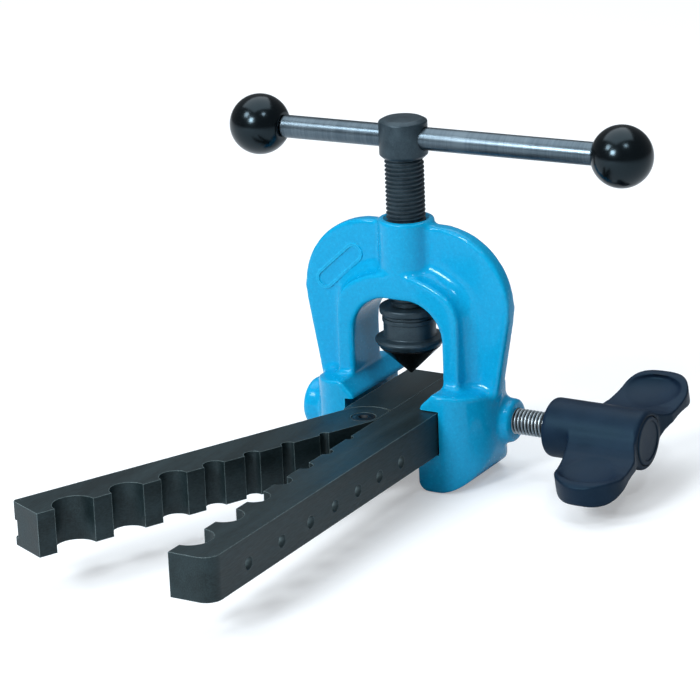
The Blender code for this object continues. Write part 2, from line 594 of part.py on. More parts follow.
def build_tommy_bar(mats):
    """The sliding cross bar with a ball knob screwed on each end."""
    half = BALL_SPACING / 2
    neck = neck_distance()
    shank_end = half - neck - GAP
    radius = TOMMY_DIAMETER / 2
    stud = STUD_DIAMETER / 2
    stud_end = half - neck + STUD_LENGTH
    profile = [(0.0, -stud_end), (stud, -stud_end), (stud, -shank_end), (radius - 0.5 * MM, -shank_end)]
    profile += [(radius, -shank_end + 0.5 * MM), (radius, shank_end - 0.5 * MM)]
    profile.append((radius - 0.5 * MM, shank_end))
    profile += [(stud, shank_end), (stud, stud_end), (0.0, stud_end)]
    bar = lathe("tommy_bar", profile, mats["bright"], axis="X", segments=32)
    pieces = [bar]
    for side, name in ((-1, "ball_knob_left"), (1, "ball_knob_right")):
        ball = lathe(name, ball_profile(), mats["phenolic"], axis="X", segments=32)
        ball.location.x = side * half
        if side > 0:
            ball.rotation_euler.z = math.pi
        pieces.append(ball)
    pivot = bpy.data.objects.new("tommy_axis", None)
    bpy.context.collection.objects.link(pivot)
    x = TOMMY_OFFSET * math.cos(TOMMY_YAW)
    y = TOMMY_OFFSET * math.sin(TOMMY_YAW)
    pivot.location = (x, y, BAR_AXIS_Z)
    pivot.rotation_euler.z = TOMMY_YAW
    for piece in pieces:
        piece.parent = pivot


def neck_distance():
    """From a ball's centre to the flat face of its neck."""
    return math.sqrt((BALL_DIAMETER / 2) ** 2 - (BALL_NECK_DIAMETER / 2) ** 2)


def ball_profile():
    """Ball with a flat neck at +X and a blind hole for the stud."""
    radius = BALL_DIAMETER / 2
    neck = neck_distance()
    start = math.degrees(math.acos(neck / radius))
    hole = STUD_DIAMETER / 2 + RUNNING
    depth = neck - STUD_LENGTH - 1.0 * MM
    points = [(0.0, depth), (hole, depth), (hole, neck)]
    for step in range(0, 15):
        angle = math.radians(start + (180 - start) * step / 14)
        points.append((max(0.0, radius * math.sin(angle)), radius * math.cos(angle)))
    points[-1] = (0.0, -radius)
    return points


def build_clamp(mats):
    """The clamp screw, its wing knob with a hexagon insert, and the knob's end cap."""
    at = (CLAMP_Y, CLAMP_Z)
    screw = CLAMP_DIAMETER / 2
    insert_end = HUB_START_X + INSERT_LENGTH
    cone_end = CLAMP_TIP_X + CLAMP_TIP_LENGTH
    screw_end = insert_end + 6 * MM
    profile = [(0.0, CLAMP_TIP_X), (0.6 * MM, CLAMP_TIP_X), (screw - 1.2 * MM, cone_end)]
    profile += [(screw, cone_end + 1.2 * MM), (screw, screw_end), (0.0, screw_end)]
    lathe("clamp_screw", profile, mats["zinc"], axis="X", origin=(0, *at), segments=32)
    hexagon_points = [(CLAMP_Y + a, CLAMP_Z + b) for a, b in hexagon(INSERT_WIDTH)]
    insert = prism("knob_insert", hexagon_points, "X", HUB_START_X + GAP, insert_end, mats["zinc"])
    cut(insert, rod("insert_thread", screw + RUNNING, HUB_START_X - MM, insert_end + MM,
                    axis="X", at=at, segments=32))
    knob = rod("wing_knob", HUB_RADIUS, HUB_START_X, HUB_END_X, mats["plastic"],
               axis="X", at=at, chamfer=2.6 * MM)
    wings = prism("wings", wing_outline(), "X", HUB_START_X, HUB_END_X + 5 * MM)
    join(knob, combine(wings, build_wing_plan(), "INTERSECT"))
    pocket = [(CLAMP_Y + a, CLAMP_Z + b) for a, b in hexagon(INSERT_WIDTH + 2 * GAP)]
    cut(knob, prism("insert_pocket", pocket, "X", HUB_START_X - MM, insert_end + GAP))
    cut(knob, rod("screw_pocket", screw + RUNNING, HUB_START_X - MM, screw_end + MM,
                  axis="X", at=at, segments=32))
    cap_x = HUB_END_X - CAP_THICKNESS
    cut(knob, rod("cap_pocket", CAP_RADIUS + GAP, cap_x - GAP, HUB_END_X + 9 * MM, axis="X", at=at))
    rod("knob_end_cap", CAP_RADIUS, cap_x, HUB_END_X + 0.4 * MM, mats["plastic"],
        axis="X", at=at, chamfer=0.5 * MM)


def wing_outline():
    """End view of the two wings, an S: thick tips, hollowed on opposite sides by the hub."""
    half = WING_THICKNESS / 2
    neck = WING_NECK / 2
    tip = WING_RADIUS - 0.6 * half
    hub = HUB_RADIUS
    wing = [(0.75 * hub, 1.15 * half), (1.05 * hub, 0.75 * half), (1.45 * hub, neck)]
    wing += [(tip - 2.1 * half, 0.62 * half), (tip - 1.1 * half, 0.93 * half)]
    wing += arc((tip, 0.0), half, 84, -84, 8)
    wing += [(tip - 2.0 * half, -0.8 * half), (1.5 * hub, -neck), (1.15 * hub, -1.3 * neck)]
    wing.append((0.85 * hub, -1.1 * half))
    turned = []
    for a, b in wing + [(-a, -b) for a, b in wing]:
        y = a * math.cos(WING_ANGLE) - b * math.sin(WING_ANGLE)
        z = a * math.sin(WING_ANGLE) + b * math.cos(WING_ANGLE)
        turned.append((CLAMP_Y + y, CLAMP_Z + z))
    return turned


def build_wing_plan():
    """Helper in the shape of the wings seen square on: two round lobes leaning outwards."""
    lobe_r = WING_RADIUS - WING_LOBE
    hub_end = (HUB_END_X - 0.6 * MM, 0.9 * HUB_RADIUS)
    half = [(HUB_START_X + 17.5 * MM, 0.9 * HUB_RADIUS)]
    half += reversed(arc((WING_LOBE_X, lobe_r), WING_LOBE, 0, 176, 16))
    half += [(WING_LOBE_X + WING_LOBE - 0.8 * MM, 1.5 * HUB_RADIUS), hub_end]
    outline = half + [(x, -r) for x, r in reversed(half)]
    plan = prism("wing_plan", outline, "Z", -WING_RADIUS, WING_RADIUS)
    plan.location = (0.0, CLAMP_Y, CLAMP_Z)
    plan.rotation_euler.x = WING_ANGLE
    return plan


def main():
    clear_scene()
    mats = {
        "die": material("die_steel", (0.03, 0.042, 0.046), 0.42, 0.8),
        "enamel": material("blue_enamel", (0.02, 0.3, 0.62), 0.3, 0.0),
        "phosphate": material("phosphated_steel", (0.045, 0.05, 0.055), 0.45, 0.8),
        "cone": material("burnished_cone", (0.012, 0.013, 0.014), 0.25, 0.9),
        "bright": material("ground_steel", (0.35, 0.4, 0.44), 0.25, 1.0),
        "zinc": material("zinc_plate", (0.6, 0.62, 0.62), 0.3, 1.0),
        "phenolic": material("black_phenolic", (0.006, 0.006, 0.007), 0.08, 0.0),
        "plastic": material("grey_plastic", (0.03, 0.04, 0.055), 0.5, 0.0),
        "black_steel": material("black_steel", (0.02, 0.02, 0.022), 0.4, 0.8),
    }
    build_fixed_jaw(mats)
    build_hinge_block(mats)
    build_hinge_hardware(mats)
    build_swing_jaw(mats)
    build_yoke(mats)
    build_guide_screw(mats)
    build_spindle(mats)
    build_swivel_head(mats)
    build_tommy_bar(mats)
    build_clamp(mats)


main()
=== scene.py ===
"""Looks of the flaring tool: cast and enamelled yoke, blackened die bars, real threads, moulded knob.

Shapes are modelled in millimetres in the part's own frame and scaled to metres at the end.
"""

import math

import bmesh
import bpy
from mathutils import Matrix, Vector


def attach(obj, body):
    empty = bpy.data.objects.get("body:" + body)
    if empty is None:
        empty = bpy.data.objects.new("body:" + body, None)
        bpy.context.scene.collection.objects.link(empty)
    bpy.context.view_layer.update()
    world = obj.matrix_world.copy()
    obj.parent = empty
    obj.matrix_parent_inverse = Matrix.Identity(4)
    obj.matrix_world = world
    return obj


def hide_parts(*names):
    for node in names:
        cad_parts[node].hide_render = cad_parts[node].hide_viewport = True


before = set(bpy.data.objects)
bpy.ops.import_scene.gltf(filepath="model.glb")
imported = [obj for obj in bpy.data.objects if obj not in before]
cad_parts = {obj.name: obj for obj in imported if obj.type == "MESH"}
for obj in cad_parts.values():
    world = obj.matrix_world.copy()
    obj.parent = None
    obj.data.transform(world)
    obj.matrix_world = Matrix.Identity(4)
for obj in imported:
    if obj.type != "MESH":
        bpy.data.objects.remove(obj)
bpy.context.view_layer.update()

TO_METRES = 0.001
GAP = 0.3         # clearance between neighbouring pieces
RUNNING = 0.1     # radial clearance of a shaft in its bore
OVERCUT = 1.0     # how far a cutting shape runs past a face
THREAD_DEPTH = 0.6    # as a share of the pitch

# Die bars
JAW_WIDTH = 21.0
JAW_HEIGHT = 20.0
SPLIT_X = 5.6
FIXED_OUTER_X = SPLIT_X + JAW_WIDTH
SWING_OUTER_X = SPLIT_X - JAW_WIDTH
BAR_FRONT_Y = -216.5
BAR_REAR_Y = 25.2
HOLE_DIAMETERS = (19.05, 15.9, 13.2, 10.3, 7.95, 6.35, 4.76)
HOLE_LANDS = (9.1, 9.1, 9.0, 10.8, 11.8, 14.0)
FIRST_HOLE_INSET = 18.2
GROOVE_TOP = -8.4
GROOVE_HEIGHT = 8.0
GROOVE_DEPTH = 3.0
CORNER_RADIUS = 7.0
CHAMFER = 1.2
DIMPLE_DEPTH = 3.4
DIMPLE_SPREAD = 5.8
RIVET_PLACES = (-12.0, 14.0)
RIVET_Z = -10.0
RIVET_HOLE_RADIUS = 3.1
PIVOT = Vector((-1.65, -42.3, 0.0))
OPEN_ANGLE = math.radians(24.8)
KNUCKLE_RADIUS = PIVOT.x - SWING_OUTER_X - GAP
SPLIT_REACH = SPLIT_X - GAP / 2 - PIVOT.x
PIN_RADIUS = 4.0
PIN_HEAD_RADIUS = 5.5
PIN_HEAD_Z = -1.6
PIN_END_Z = -19.7
PIN_SOCKET_DEPTH = 0.9
HINGE_SHOULDER = 6.0

# Yoke
HALF_WEB = 4.0
HALF_RIB = 13.0
LOBE_X = 17.3
LOBE_Z = 44.8
LOBE_RADIUS = 35.0
WEB_FOOT_X = 45.2
SHRINKAGE = 0.6
RIB_X = 31.5
RIB_CROWN_Z = 59.0
RIB_CROWN_RADIUS = 45.0
RIB_SHOULDER = 16.0
ARCH_X = 23.0
ARCH_TOP_Z = 46.4
ARCH_CORNER = 18.0
BOSS_RADIUS = 13.0
BOSS_TOP_Z = 82.4
FOOT_HALF_DEPTH = 25.0
FOOT_TOP_Z = 6.2
FOOT_BOTTOM_Z = -39.0
FOOT_OUTER_X = 44.6
FOOT_FRONT_X = 26.0
FOOT_UNDER_RADIUS = 19.5
UPPER_LIP_X = 17.4
LOWER_LIP_X = 15.6
RIGHT_WALL_X = FIXED_OUTER_X + 0.5
LEFT_WALL_X = -JAW_WIDTH - 0.5
ROOF_Z = 0.5
FLOOR_Z = -JAW_HEIGHT - 0.5
CLAMP_Y = 10.0
CLAMP_Z = -11.9
CLAMP_BOSS_RADIUS = 10.2
CLAMP_BOSS_X = 49.0
LOZENGE_HALF = 10.4
LOZENGE_RADII = (4.7, 3.3)
LOZENGE_HEIGHT = 0.6
LOZENGE_PLACE = Vector((-33.7, 0.0, 56.6))
LOZENGE_LEAN = math.radians(-42.0)
GUIDE_Z = -13.0
GUIDE_BOSS_RADIUS = 12.0
GUIDE_BOSS_X = -53.0
GUIDE_RADIUS = 5.0
GUIDE_POINT_RADIUS = 3.0
GUIDE_SOCKET_WIDTH = 5.0
WEB_VOXEL = 0.8
WEB_FILLET = 5.0
CASTING_VOXEL = 0.7
CASTING_FILLET = 1.8

# Spindle, swivel head and cross bar
SPINDLE_RADIUS = 9.0
SPINDLE_PITCH = 2.0
BAR_AXIS_Z = 120.0
HEAD_RADIUS = 11.1
HEAD_HALF = 8.5
HEAD_LOW = BAR_AXIS_Z - HEAD_HALF
HEAD_HIGH = BAR_AXIS_Z + HEAD_HALF
TIP_Z = 7.8
CONE_RADIUS = 14.2
CONE_RIM_Z = TIP_Z + CONE_RADIUS
FLANGE_RADIUS = 16.3
FLANGE_TOP_Z = CONE_RIM_Z + 6.0
SLEEVE_RADIUS = 12.1
SLEEVE_TOP_Z = FLANGE_TOP_Z + 9.4
COLLAR_RADIUS = 13.7
COLLAR_Z = SLEEVE_TOP_Z + GAP
COLLAR_TOP_Z = COLLAR_Z + 3.5
JOURNAL_RADIUS = 6.5
BORE_FLOOR_Z = CONE_RIM_Z + 1.6
RING_Z = SLEEVE_TOP_Z - 2.6
JOURNAL_END_Z = BORE_FLOOR_Z + 6.4
JOURNAL_ROOT_Z = 46.0
TOMMY_RADIUS = 5.25
TOMMY_YAW = math.radians(3.1)
TOMMY_OFFSET = 16.4
BALL_RADIUS = 14.0
BALL_NECK_RADIUS = 6.75
BALL_SPACING = 178.9
STUD_RADIUS = 4.0
STUD_LENGTH = 11.0
STUD_HOLE_DEPTH = 12.0

# Clamp screw and knob
CLAMP_RADIUS = 6.0
CLAMP_PITCH = 1.75
CLAMP_TIP_X = 31.4
CLAMP_POINT_RADIUS = 4.7
HUB_START_X = 67.0
HUB_END_X = 115.0
HUB_RADIUS = 13.7
WING_RADIUS = 50.0
WING_LOBE = 16.3
WING_LOBE_X = 102.4
WING_HALF = 5.6
WING_ANGLE = math.radians(14.0)
SCOOP_SIZE = (14.4, 13.2, 3.0)
SCOOP_PLACE = Vector((WING_LOBE_X - 0.8, 32.5, 4.2))
KNOB_VOXEL = 0.42
KNOB_FILLET = 0.8
INSERT_WIDTH = 17.6
INSERT_DEPTH = 16.3
CLAMP_SCREW_DEPTH = 22.0
CAP_RADIUS = 11.2
CAP_THICKNESS = 2.2

# Finishes
TONE_RANGE = (0.36, 0.64)
SHEEN_RANGE = (0.3, 0.7)
RELIEF_DEPTH = 0.0003
# share of colour left at a thread's root: painted shade
PAINTED_ROOT_DARKNESS = 0.06

# Room, light and camera, in metres and watts
FLOOR_REACH = 6.0
FLOOR_COLOR = (0.68, 0.7, 0.72, 1)
FLOOR_LIFT = 0.34
SKY_COLOR = (0.85, 0.93, 1.0, 1)
SKY_STRENGTH = 0.2
LIGHT_COLOR = (0.93, 0.97, 1.0)
LIGHTS = (
    ("overhead", (-0.4, 0.3, 2.2), 2.8, 48.0),
    ("key", (-0.25, -1.75, 1.0), 0.45, 27.0),
    ("side", (-1.0, -1.3, 1.4), 0.5, 13.0),
    ("glint", (1.0, -0.8, 1.7), 0.3, 6.0),
)
CAMERA_AZIMUTH = math.radians(30.77)
CAMERA_ELEVATION = math.radians(18.59)
CAMERA_ROLL = math.radians(-2.4)
CAMERA_PLACE = (0.7077, -1.2505, 0.4996)
LENS = 169.71


# ---------------------------------------------------------------- outlines

def arc(center, radius, start, end, steps):
    """Points on an arc; angles in degrees, both ends included."""
    angles = [math.radians(start + (end - start) * i / steps) for i in range(steps + 1)]
    return [(center[0] + radius * math.cos(a), center[1] + radius * math.sin(a)) for a in angles]


def rounded(points, closed=False, steps=5):
    """Corner points (a, b) or (a, b, radius) to a line with an arc at each corner that has a radius."""
    line = []
    for index, point in enumerate(points):
        corner = Vector(point[:2])
        radius = point[2] if len(point) > 2 else 0.0
        if not radius or (not closed and index in (0, len(points) - 1)):
            line.append(tuple(corner))
            continue
        back = Vector(points[index - 1][:2]) - corner
        onward = Vector(points[(index + 1) % len(points)][:2]) - corner
        half = back.angle(onward) / 2
        reach = min(radius / math.tan(half), 0.48 * back.length, 0.48 * onward.length)
        radius = reach * math.tan(half)
        middle = (back.normalized() + onward.normalized()).normalized()
        center = corner + middle * radius / math.sin(half)
        first = corner + back.normalized() * reach - center
        last = corner + onward.normalized() * reach - center
        sweep = math.atan2(first.x * last.y - first.y * last.x, first.dot(last))
        for step in range(steps + 1):
            turn = Matrix.Rotation(sweep * step / steps, 2)
            line.append(tuple(center + turn @ first))
    return line


def hexagon(width):
    """A hexagon's corners, from its width across the flats."""
    return arc((0.0, 0.0), width / math.sqrt(3), 0, 300, 5)


def mirrored(points):
    """A half outline on the +X side, and its mirror image in reverse order."""
    return list(points) + [(-p[0], *p[1:]) for p in reversed(points)]


# ---------------------------------------------------------------- shapes in a bmesh

def axis_turn(axis):
    """Rotation that takes +Z to the named axis."""
    if axis == "X":
        return Matrix.Rotation(math.pi / 2, 4, "Y")
    if axis == "Y":
        return Matrix.Rotation(-math.pi / 2, 4, "X")
    return Matrix.Identity(4)


def spun(profile, axis="Z", origin=(0, 0, 0), steps=96):
    """(radius, height) points spun about an axis into a closed solid."""
    bm = bmesh.new()
    verts = [bm.verts.new((p[0], 0.0, p[1])) for p in profile]
    edges = [bm.edges.new(pair) for pair in zip(verts, verts[1:])]
    if profile[0][0] > 0.0 or profile[-1][0] > 0.0:
        edges.append(bm.edges.new((verts[-1], verts[0])))
    bmesh.ops.spin(bm, geom=verts + edges, cent=(0, 0, 0), axis=(0, 0, 1), dvec=(0, 0, 0),
                   angle=2 * math.pi, steps=steps, use_merge=True)
    bmesh.ops.remove_doubles(bm, verts=bm.verts, dist=1e-4)
    bm.transform(Matrix.Translation(origin) @ axis_turn(axis))
    bmesh.ops.recalc_face_normals(bm, faces=bm.faces)
    return bm


def rod(radius, start, end, axis="Z", origin=(0, 0, 0), steps=96, edge=0.0):
    """A cylinder along an axis; edge rounds its rims."""
    profile = [(0.0, start), (radius, start, edge), (radius, end, edge), (0.0, end)]
    return spun(rounded(profile), axis, origin, steps)


def prism(outline, axis, low, high):
    """Extrude a closed outline along Y (outline in X, Z), Z (X, Y) or X (Y, Z)."""
    place = {
        "X": lambda a, b, t: (t, a, b),
        "Y": lambda a, b, t: (a, t, b),
        "Z": lambda a, b, t: (a, b, t),
    }[axis]
    bm = bmesh.new()
    face = bm.faces.new([bm.verts.new(place(p[0], p[1], low)) for p in outline])
    grown = bmesh.ops.extrude_face_region(bm, geom=[face])
    moved = [item for item in grown["geom"] if isinstance(item, bmesh.types.BMVert)]
    bmesh.ops.translate(bm, verts=moved, vec=Vector(place(0.0, 0.0, high - low)))
    bmesh.ops.recalc_face_normals(bm, faces=bm.faces)
    return bm


def block(low, high):
    """An axis-aligned block between two corners."""
    bm = bmesh.new()
    size = Vector(high) - Vector(low)
    middle = (Vector(high) + Vector(low)) / 2
    bmesh.ops.create_cube(bm, size=1.0, matrix=Matrix.Translation(middle) @ Matrix.Diagonal((*size, 1.0)))
    return bm


def gathered(*shapes):
    """Several closed shapes in one bmesh, as separate shells."""
    whole = bmesh.new()
    for shape in shapes:
        mesh = bpy.data.meshes.new("shell")
        shape.to_mesh(mesh)
        shape.free()
        whole.from_mesh(mesh)
        bpy.data.meshes.remove(mesh)
    return whole


def as_object(bm):
    """A working object that holds a shape while modifiers act on it."""
    mesh = bpy.data.meshes.new("work")
    bm.to_mesh(mesh)
    bm.free()
    obj = bpy.data.objects.new("work", mesh)
    bpy.context.scene.collection.objects.link(obj)
    return obj


def settled(obj, *helpers):
    """The shape after its modifiers, as a bmesh; the working objects are removed."""
    graph = bpy.context.evaluated_depsgraph_get()
    mesh = bpy.data.meshes.new_from_object(obj.evaluated_get(graph))
    bm = bmesh.new()
    bm.from_mesh(mesh)
    bpy.data.meshes.remove(mesh)
    for item in (obj, *helpers):
        mesh = item.data
        bpy.data.objects.remove(item)
        bpy.data.meshes.remove(mesh)
    return bm


def carved(bm, *tools, operation="DIFFERENCE"):
    """Cut closed shapes out of another, or join or intersect them with it."""
    obj = as_object(bm)
    helpers = [as_object(tool) for tool in tools]
    for helper in helpers:
        modifier = obj.modifiers.new("carve", "BOOLEAN")
        modifier.operation = operation
        modifier.solver = "EXACT"
        modifier.object = helper
    return settled(obj, *helpers)


def skinned(bm, voxel, fillet=0.0, soften=4):
    """Melt overlapping shells into one skin, as a casting: hollow corners fill to a radius, edges soften."""
    obj = as_object(bm)

    def remesh():
        modifier = obj.modifiers.new("skin", "REMESH")
        modifier.mode = "VOXEL"
        modifier.voxel_size = voxel

    def smooth(turns):
        modifier = obj.modifiers.new("soften", "SMOOTH")
        modifier.factor = 0.5
        modifier.iterations = turns

    remesh()
    if fillet:
        smooth(2)
        for side in (1, -1):
            modifier = obj.modifiers.new("offset", "DISPLACE")
            modifier.strength = side * fillet
            modifier.mid_level = 0.0
            remesh()
            smooth(2)
    smooth(soften)
    return settled(obj)


def thread(radius, pitch, low, high, lead, steps=40):
    """A right-hand threaded shank along +Z, closed at both ends, with its ends tapered."""
    minor = radius - THREAD_DEPTH * pitch
    ridge = [(minor, 0.0), (minor, 0.22), (radius, 0.55), (radius, 0.67), (minor, 1.0)]
    start = low - 1.5 * pitch
    turns = math.ceil((high - low) / pitch) + 3
    bm = bmesh.new()
    verts = [bm.verts.new((r, 0.0, start + h * pitch)) for r, h in ridge]
    edges = [bm.edges.new(pair) for pair in zip(verts, verts[1:])]
    bmesh.ops.spin(bm, geom=verts + edges, cent=(0, 0, 0), axis=(0, 0, 1),
                   dvec=(0, 0, pitch / steps), angle=2 * math.pi * turns, steps=steps * turns)
    bmesh.ops.remove_doubles(bm, verts=bm.verts, dist=0.02)
    for height, side in ((low, -1), (high, 1)):
        bmesh.ops.bisect_plane(bm, geom=bm.verts[:] + bm.edges[:] + bm.faces[:], dist=1e-5,
                               plane_co=(0, 0, height), plane_no=(0, 0, side), clear_outer=True)
        rim = [e for e in bm.edges if e.is_boundary and abs(e.verts[0].co.z - height) < 1e-3]
        bmesh.ops.edgeloop_fill(bm, edges=rim)
    for vert in bm.verts:
        reach = math.hypot(vert.co.x, vert.co.y)
        ends = min(vert.co.z - low, high - vert.co.z)
        limit = minor + max(0.0, ends) * (radius - minor) / lead
        if reach > limit:
            vert.co.x *= limit / reach
            vert.co.y *= limit / reach
    bmesh.ops.recalc_face_normals(bm, faces=bm.faces)
    return bm


# ---------------------------------------------------------------- finishes (lengths in metres)

def shader_group(name, inputs, outputs):
    """An empty shader group with named sockets."""
    group = bpy.data.node_groups.new(name, "ShaderNodeTree")
    for label, kind, value in inputs:
        socket = group.interface.new_socket(label, in_out="INPUT", socket_type=kind)
        socket.default_value = value
    for label, kind in outputs:
        group.interface.new_socket(label, in_out="OUTPUT", socket_type=kind)
    return group, group.nodes.new("NodeGroupInput"), group.nodes.new("NodeGroupOutput")


def math_node(tree, operation, first, second, clamp=False):
    """A Math node; each operand is a number or an output socket."""
    node = tree.nodes.new("ShaderNodeMath")
    node.operation = operation
    node.use_clamp = clamp
    for socket, value in zip(node.inputs, (first, second)):
        if isinstance(value, (int, float)):
            socket.default_value = value
        else:
            tree.links.new(value, socket)
    return node.outputs[0]


def build_grain_group():
    """Noise on the piece's own coordinates, stretched along an axis where the finish runs one way."""
    group, source, result = shader_group(
        "grain", [("Scale", "NodeSocketFloat", 300.0), ("Stretch", "NodeSocketVector", (1, 1, 1)),
                  ("Detail", "NodeSocketFloat", 4.0)], [("Value", "NodeSocketFloat")])
    place = group.nodes.new("ShaderNodeTexCoord")
    mapping = group.nodes.new("ShaderNodeMapping")
    noise = group.nodes.new("ShaderNodeTexNoise")
    group.links.new(place.outputs["Object"], mapping.inputs["Vector"])
    group.links.new(source.outputs["Stretch"], mapping.inputs["Scale"])
    group.links.new(mapping.outputs["Vector"], noise.inputs["Vector"])
    group.links.new(source.outputs["Scale"], noise.inputs["Scale"])
    group.links.new(source.outputs["Detail"], noise.inputs["Detail"])
    group.links.new(noise.outputs["Fac"], result.inputs["Value"])
    return group


def build_rub_and_painted_light_group():
    """Mask of the edges, where a rounded normal leaves the face's own: it colours wear at the edges, and also
    a painted edge highlight and painted edge shade.
    """
    group, source, result = shader_group(
        "edge_rub_and_painted_light", [("Width", "NodeSocketFloat", 0.0006), ("Gain", "NodeSocketFloat", 4.0),
                      ("Breakup", "NodeSocketFloat", 700.0)], [("Mask", "NodeSocketFloat")])
    bevel = group.nodes.new("ShaderNodeBevel")
    bevel.samples = 6
    face = group.nodes.new("ShaderNodeNewGeometry")
    dot = group.nodes.new("ShaderNodeVectorMath")
    dot.operation = "DOT_PRODUCT"
    noise = group.nodes.new("ShaderNodeTexNoise")
    place = group.nodes.new("ShaderNodeTexCoord")
    group.links.new(source.outputs["Width"], bevel.inputs["Radius"])
    group.links.new(bevel.outputs["Normal"], dot.inputs[0])
    group.links.new(face.outputs["True Normal"], dot.inputs[1])
    group.links.new(place.outputs["Object"], noise.inputs["Vector"])
    group.links.new(source.outputs["Breakup"], noise.inputs["Scale"])
    away = math_node(group, "SUBTRACT", 1.0, dot.outputs["Value"])
    gained = math_node(group, "MULTIPLY", away, source.outputs["Gain"])
    broken = math_node(group, "MULTIPLY", gained, noise.outputs["Fac"], clamp=True)
    group.links.new(broken, result.inputs["Mask"])
    return group


GRAIN = build_grain_group()
RUB_AND_PAINTED_LIGHT = build_rub_and_painted_light_group()


def group_node(tree, group, **values):
    """A group in a material, with its own values."""
    node = tree.nodes.new("ShaderNodeGroup")
    node.node_tree = group
    for label, value in values.items():
        node.inputs[label].default_value = value
    return node


def painted_shade_in_roots(tree, color, center, across, root, crest):
    """Painted shade in a thread's roots: darken the colour by distance from its axis; across is 1 on the axes
    square to it.
    """
    place = tree.nodes.new("ShaderNodeTexCoord")
    shifted = tree.nodes.new("ShaderNodeVectorMath")
    shifted.operation = "SUBTRACT"
    shifted.inputs[1].default_value = [value * TO_METRES for value in center]
    flat = tree.nodes.new("ShaderNodeVectorMath")
    flat.operation = "MULTIPLY"
    flat.inputs[1].default_value = across
    length = tree.nodes.new("ShaderNodeVectorMath")
    length.operation = "LENGTH"
    tree.links.new(place.outputs["Object"], shifted.inputs[0])
    tree.links.new(shifted.outputs["Vector"], flat.inputs[0])
    tree.links.new(flat.outputs["Vector"], length.inputs[0])
    depth = tree.nodes.new("ShaderNodeMapRange")
    depth.inputs["From Min"].default_value = root * TO_METRES
    depth.inputs["From Max"].default_value = crest * TO_METRES
    depth.inputs["To Min"].default_value = PAINTED_ROOT_DARKNESS
    tree.links.new(length.outputs["Value"], depth.inputs["Value"])
    shaded = tree.nodes.new("ShaderNodeMix")
    shaded.data_type = "RGBA"
    shaded.blend_type = "MULTIPLY"
    shaded.inputs["Factor"].default_value = 1.0
    tree.links.new(color, shaded.inputs["A"])
    tree.links.new(depth.outputs["Result"], shaded.inputs["B"])
    return shaded.outputs["Result"]


def finish(slot, dark, light, rough, metallic=0.0, coarse=120.0, fine=1500.0, stretch=(1, 1, 1),
           bump=0.05, edge_rub_and_light_color=None, edge_rub_and_light_width=0.0006, edge_rub_and_light_gain=4.0, constants=(), painted_root_shading=()):
    """A finish between two tones, with its own grain, roughness range and relief; its edge colour is wear on
    the metal finishes, a painted edge highlight on the enamel and painted edge shade on the knob; it can also
    paint shade into thread roots.
    """
    mat = bpy.data.materials.new(slot)
    mat.use_nodes = True
    tree = mat.node_tree
    shader = tree.nodes["Principled BSDF"]
    shader.inputs["Metallic"].default_value = metallic
    for label, value in constants:
        shader.inputs[label].default_value = value
    broad = group_node(tree, GRAIN, Scale=coarse, Stretch=stretch, Detail=3.0)
    small = group_node(tree, GRAIN, Scale=fine, Stretch=stretch, Detail=2.0)
    both = math_node(tree, "ADD", math_node(tree, "MULTIPLY", broad.outputs[0], 0.6),
                     math_node(tree, "MULTIPLY", small.outputs[0], 0.4))
    spread = tree.nodes.new("ShaderNodeMapRange")
    spread.inputs["From Min"].default_value = TONE_RANGE[0]
    spread.inputs["From Max"].default_value = TONE_RANGE[1]
    tree.links.new(both, spread.inputs["Value"])
    tone = tree.nodes.new("ShaderNodeMix")
    tone.data_type = "RGBA"
    tone.inputs["A"].default_value = (*dark, 1.0)
    tone.inputs["B"].default_value = (*light, 1.0)
    tree.links.new(spread.outputs["Result"], tone.inputs["Factor"])
    color = tone.outputs["Result"]
    # Edge colour: wear on the metal finishes, a painted highlight on the enamel, painted shade on the knob.
    if edge_rub_and_light_color:
        edges = group_node(tree, RUB_AND_PAINTED_LIGHT, Width=edge_rub_and_light_width, Gain=edge_rub_and_light_gain)
        edge_rub_and_light_mix = tree.nodes.new("ShaderNodeMix")
        edge_rub_and_light_mix.data_type = "RGBA"
        edge_rub_and_light_mix.inputs["B"].default_value = (*edge_rub_and_light_color, 1.0)
        tree.links.new(edges.outputs["Mask"], edge_rub_and_light_mix.inputs["Factor"])
        tree.links.new(color, edge_rub_and_light_mix.inputs["A"])
        color = edge_rub_and_light_mix.outputs["Result"]
    # painted shade in thread roots
    if painted_root_shading:
        color = painted_shade_in_roots(tree, color, *painted_root_shading)
    tree.links.new(color, shader.inputs["Base Color"])
    sheen = tree.nodes.new("ShaderNodeMapRange")
    sheen.inputs["From Min"].default_value = SHEEN_RANGE[0]
    sheen.inputs["From Max"].default_value = SHEEN_RANGE[1]
    sheen.inputs["To Min"].default_value = rough[0]
    sheen.inputs["To Max"].default_value = rough[1]
    tree.links.new(broad.outputs[0], sheen.inputs["Value"])
    tree.links.new(sheen.outputs["Result"], shader.inputs["Roughness"])
    relief = tree.nodes.new("ShaderNodeBump")
    relief.inputs["Strength"].default_value = bump
    relief.inputs["Distance"].default_value = RELIEF_DEPTH
    tree.links.new(small.outputs[0], relief.inputs["Height"])
    tree.links.new(relief.outputs["Normal"], shader.inputs["Normal"])
    return mat


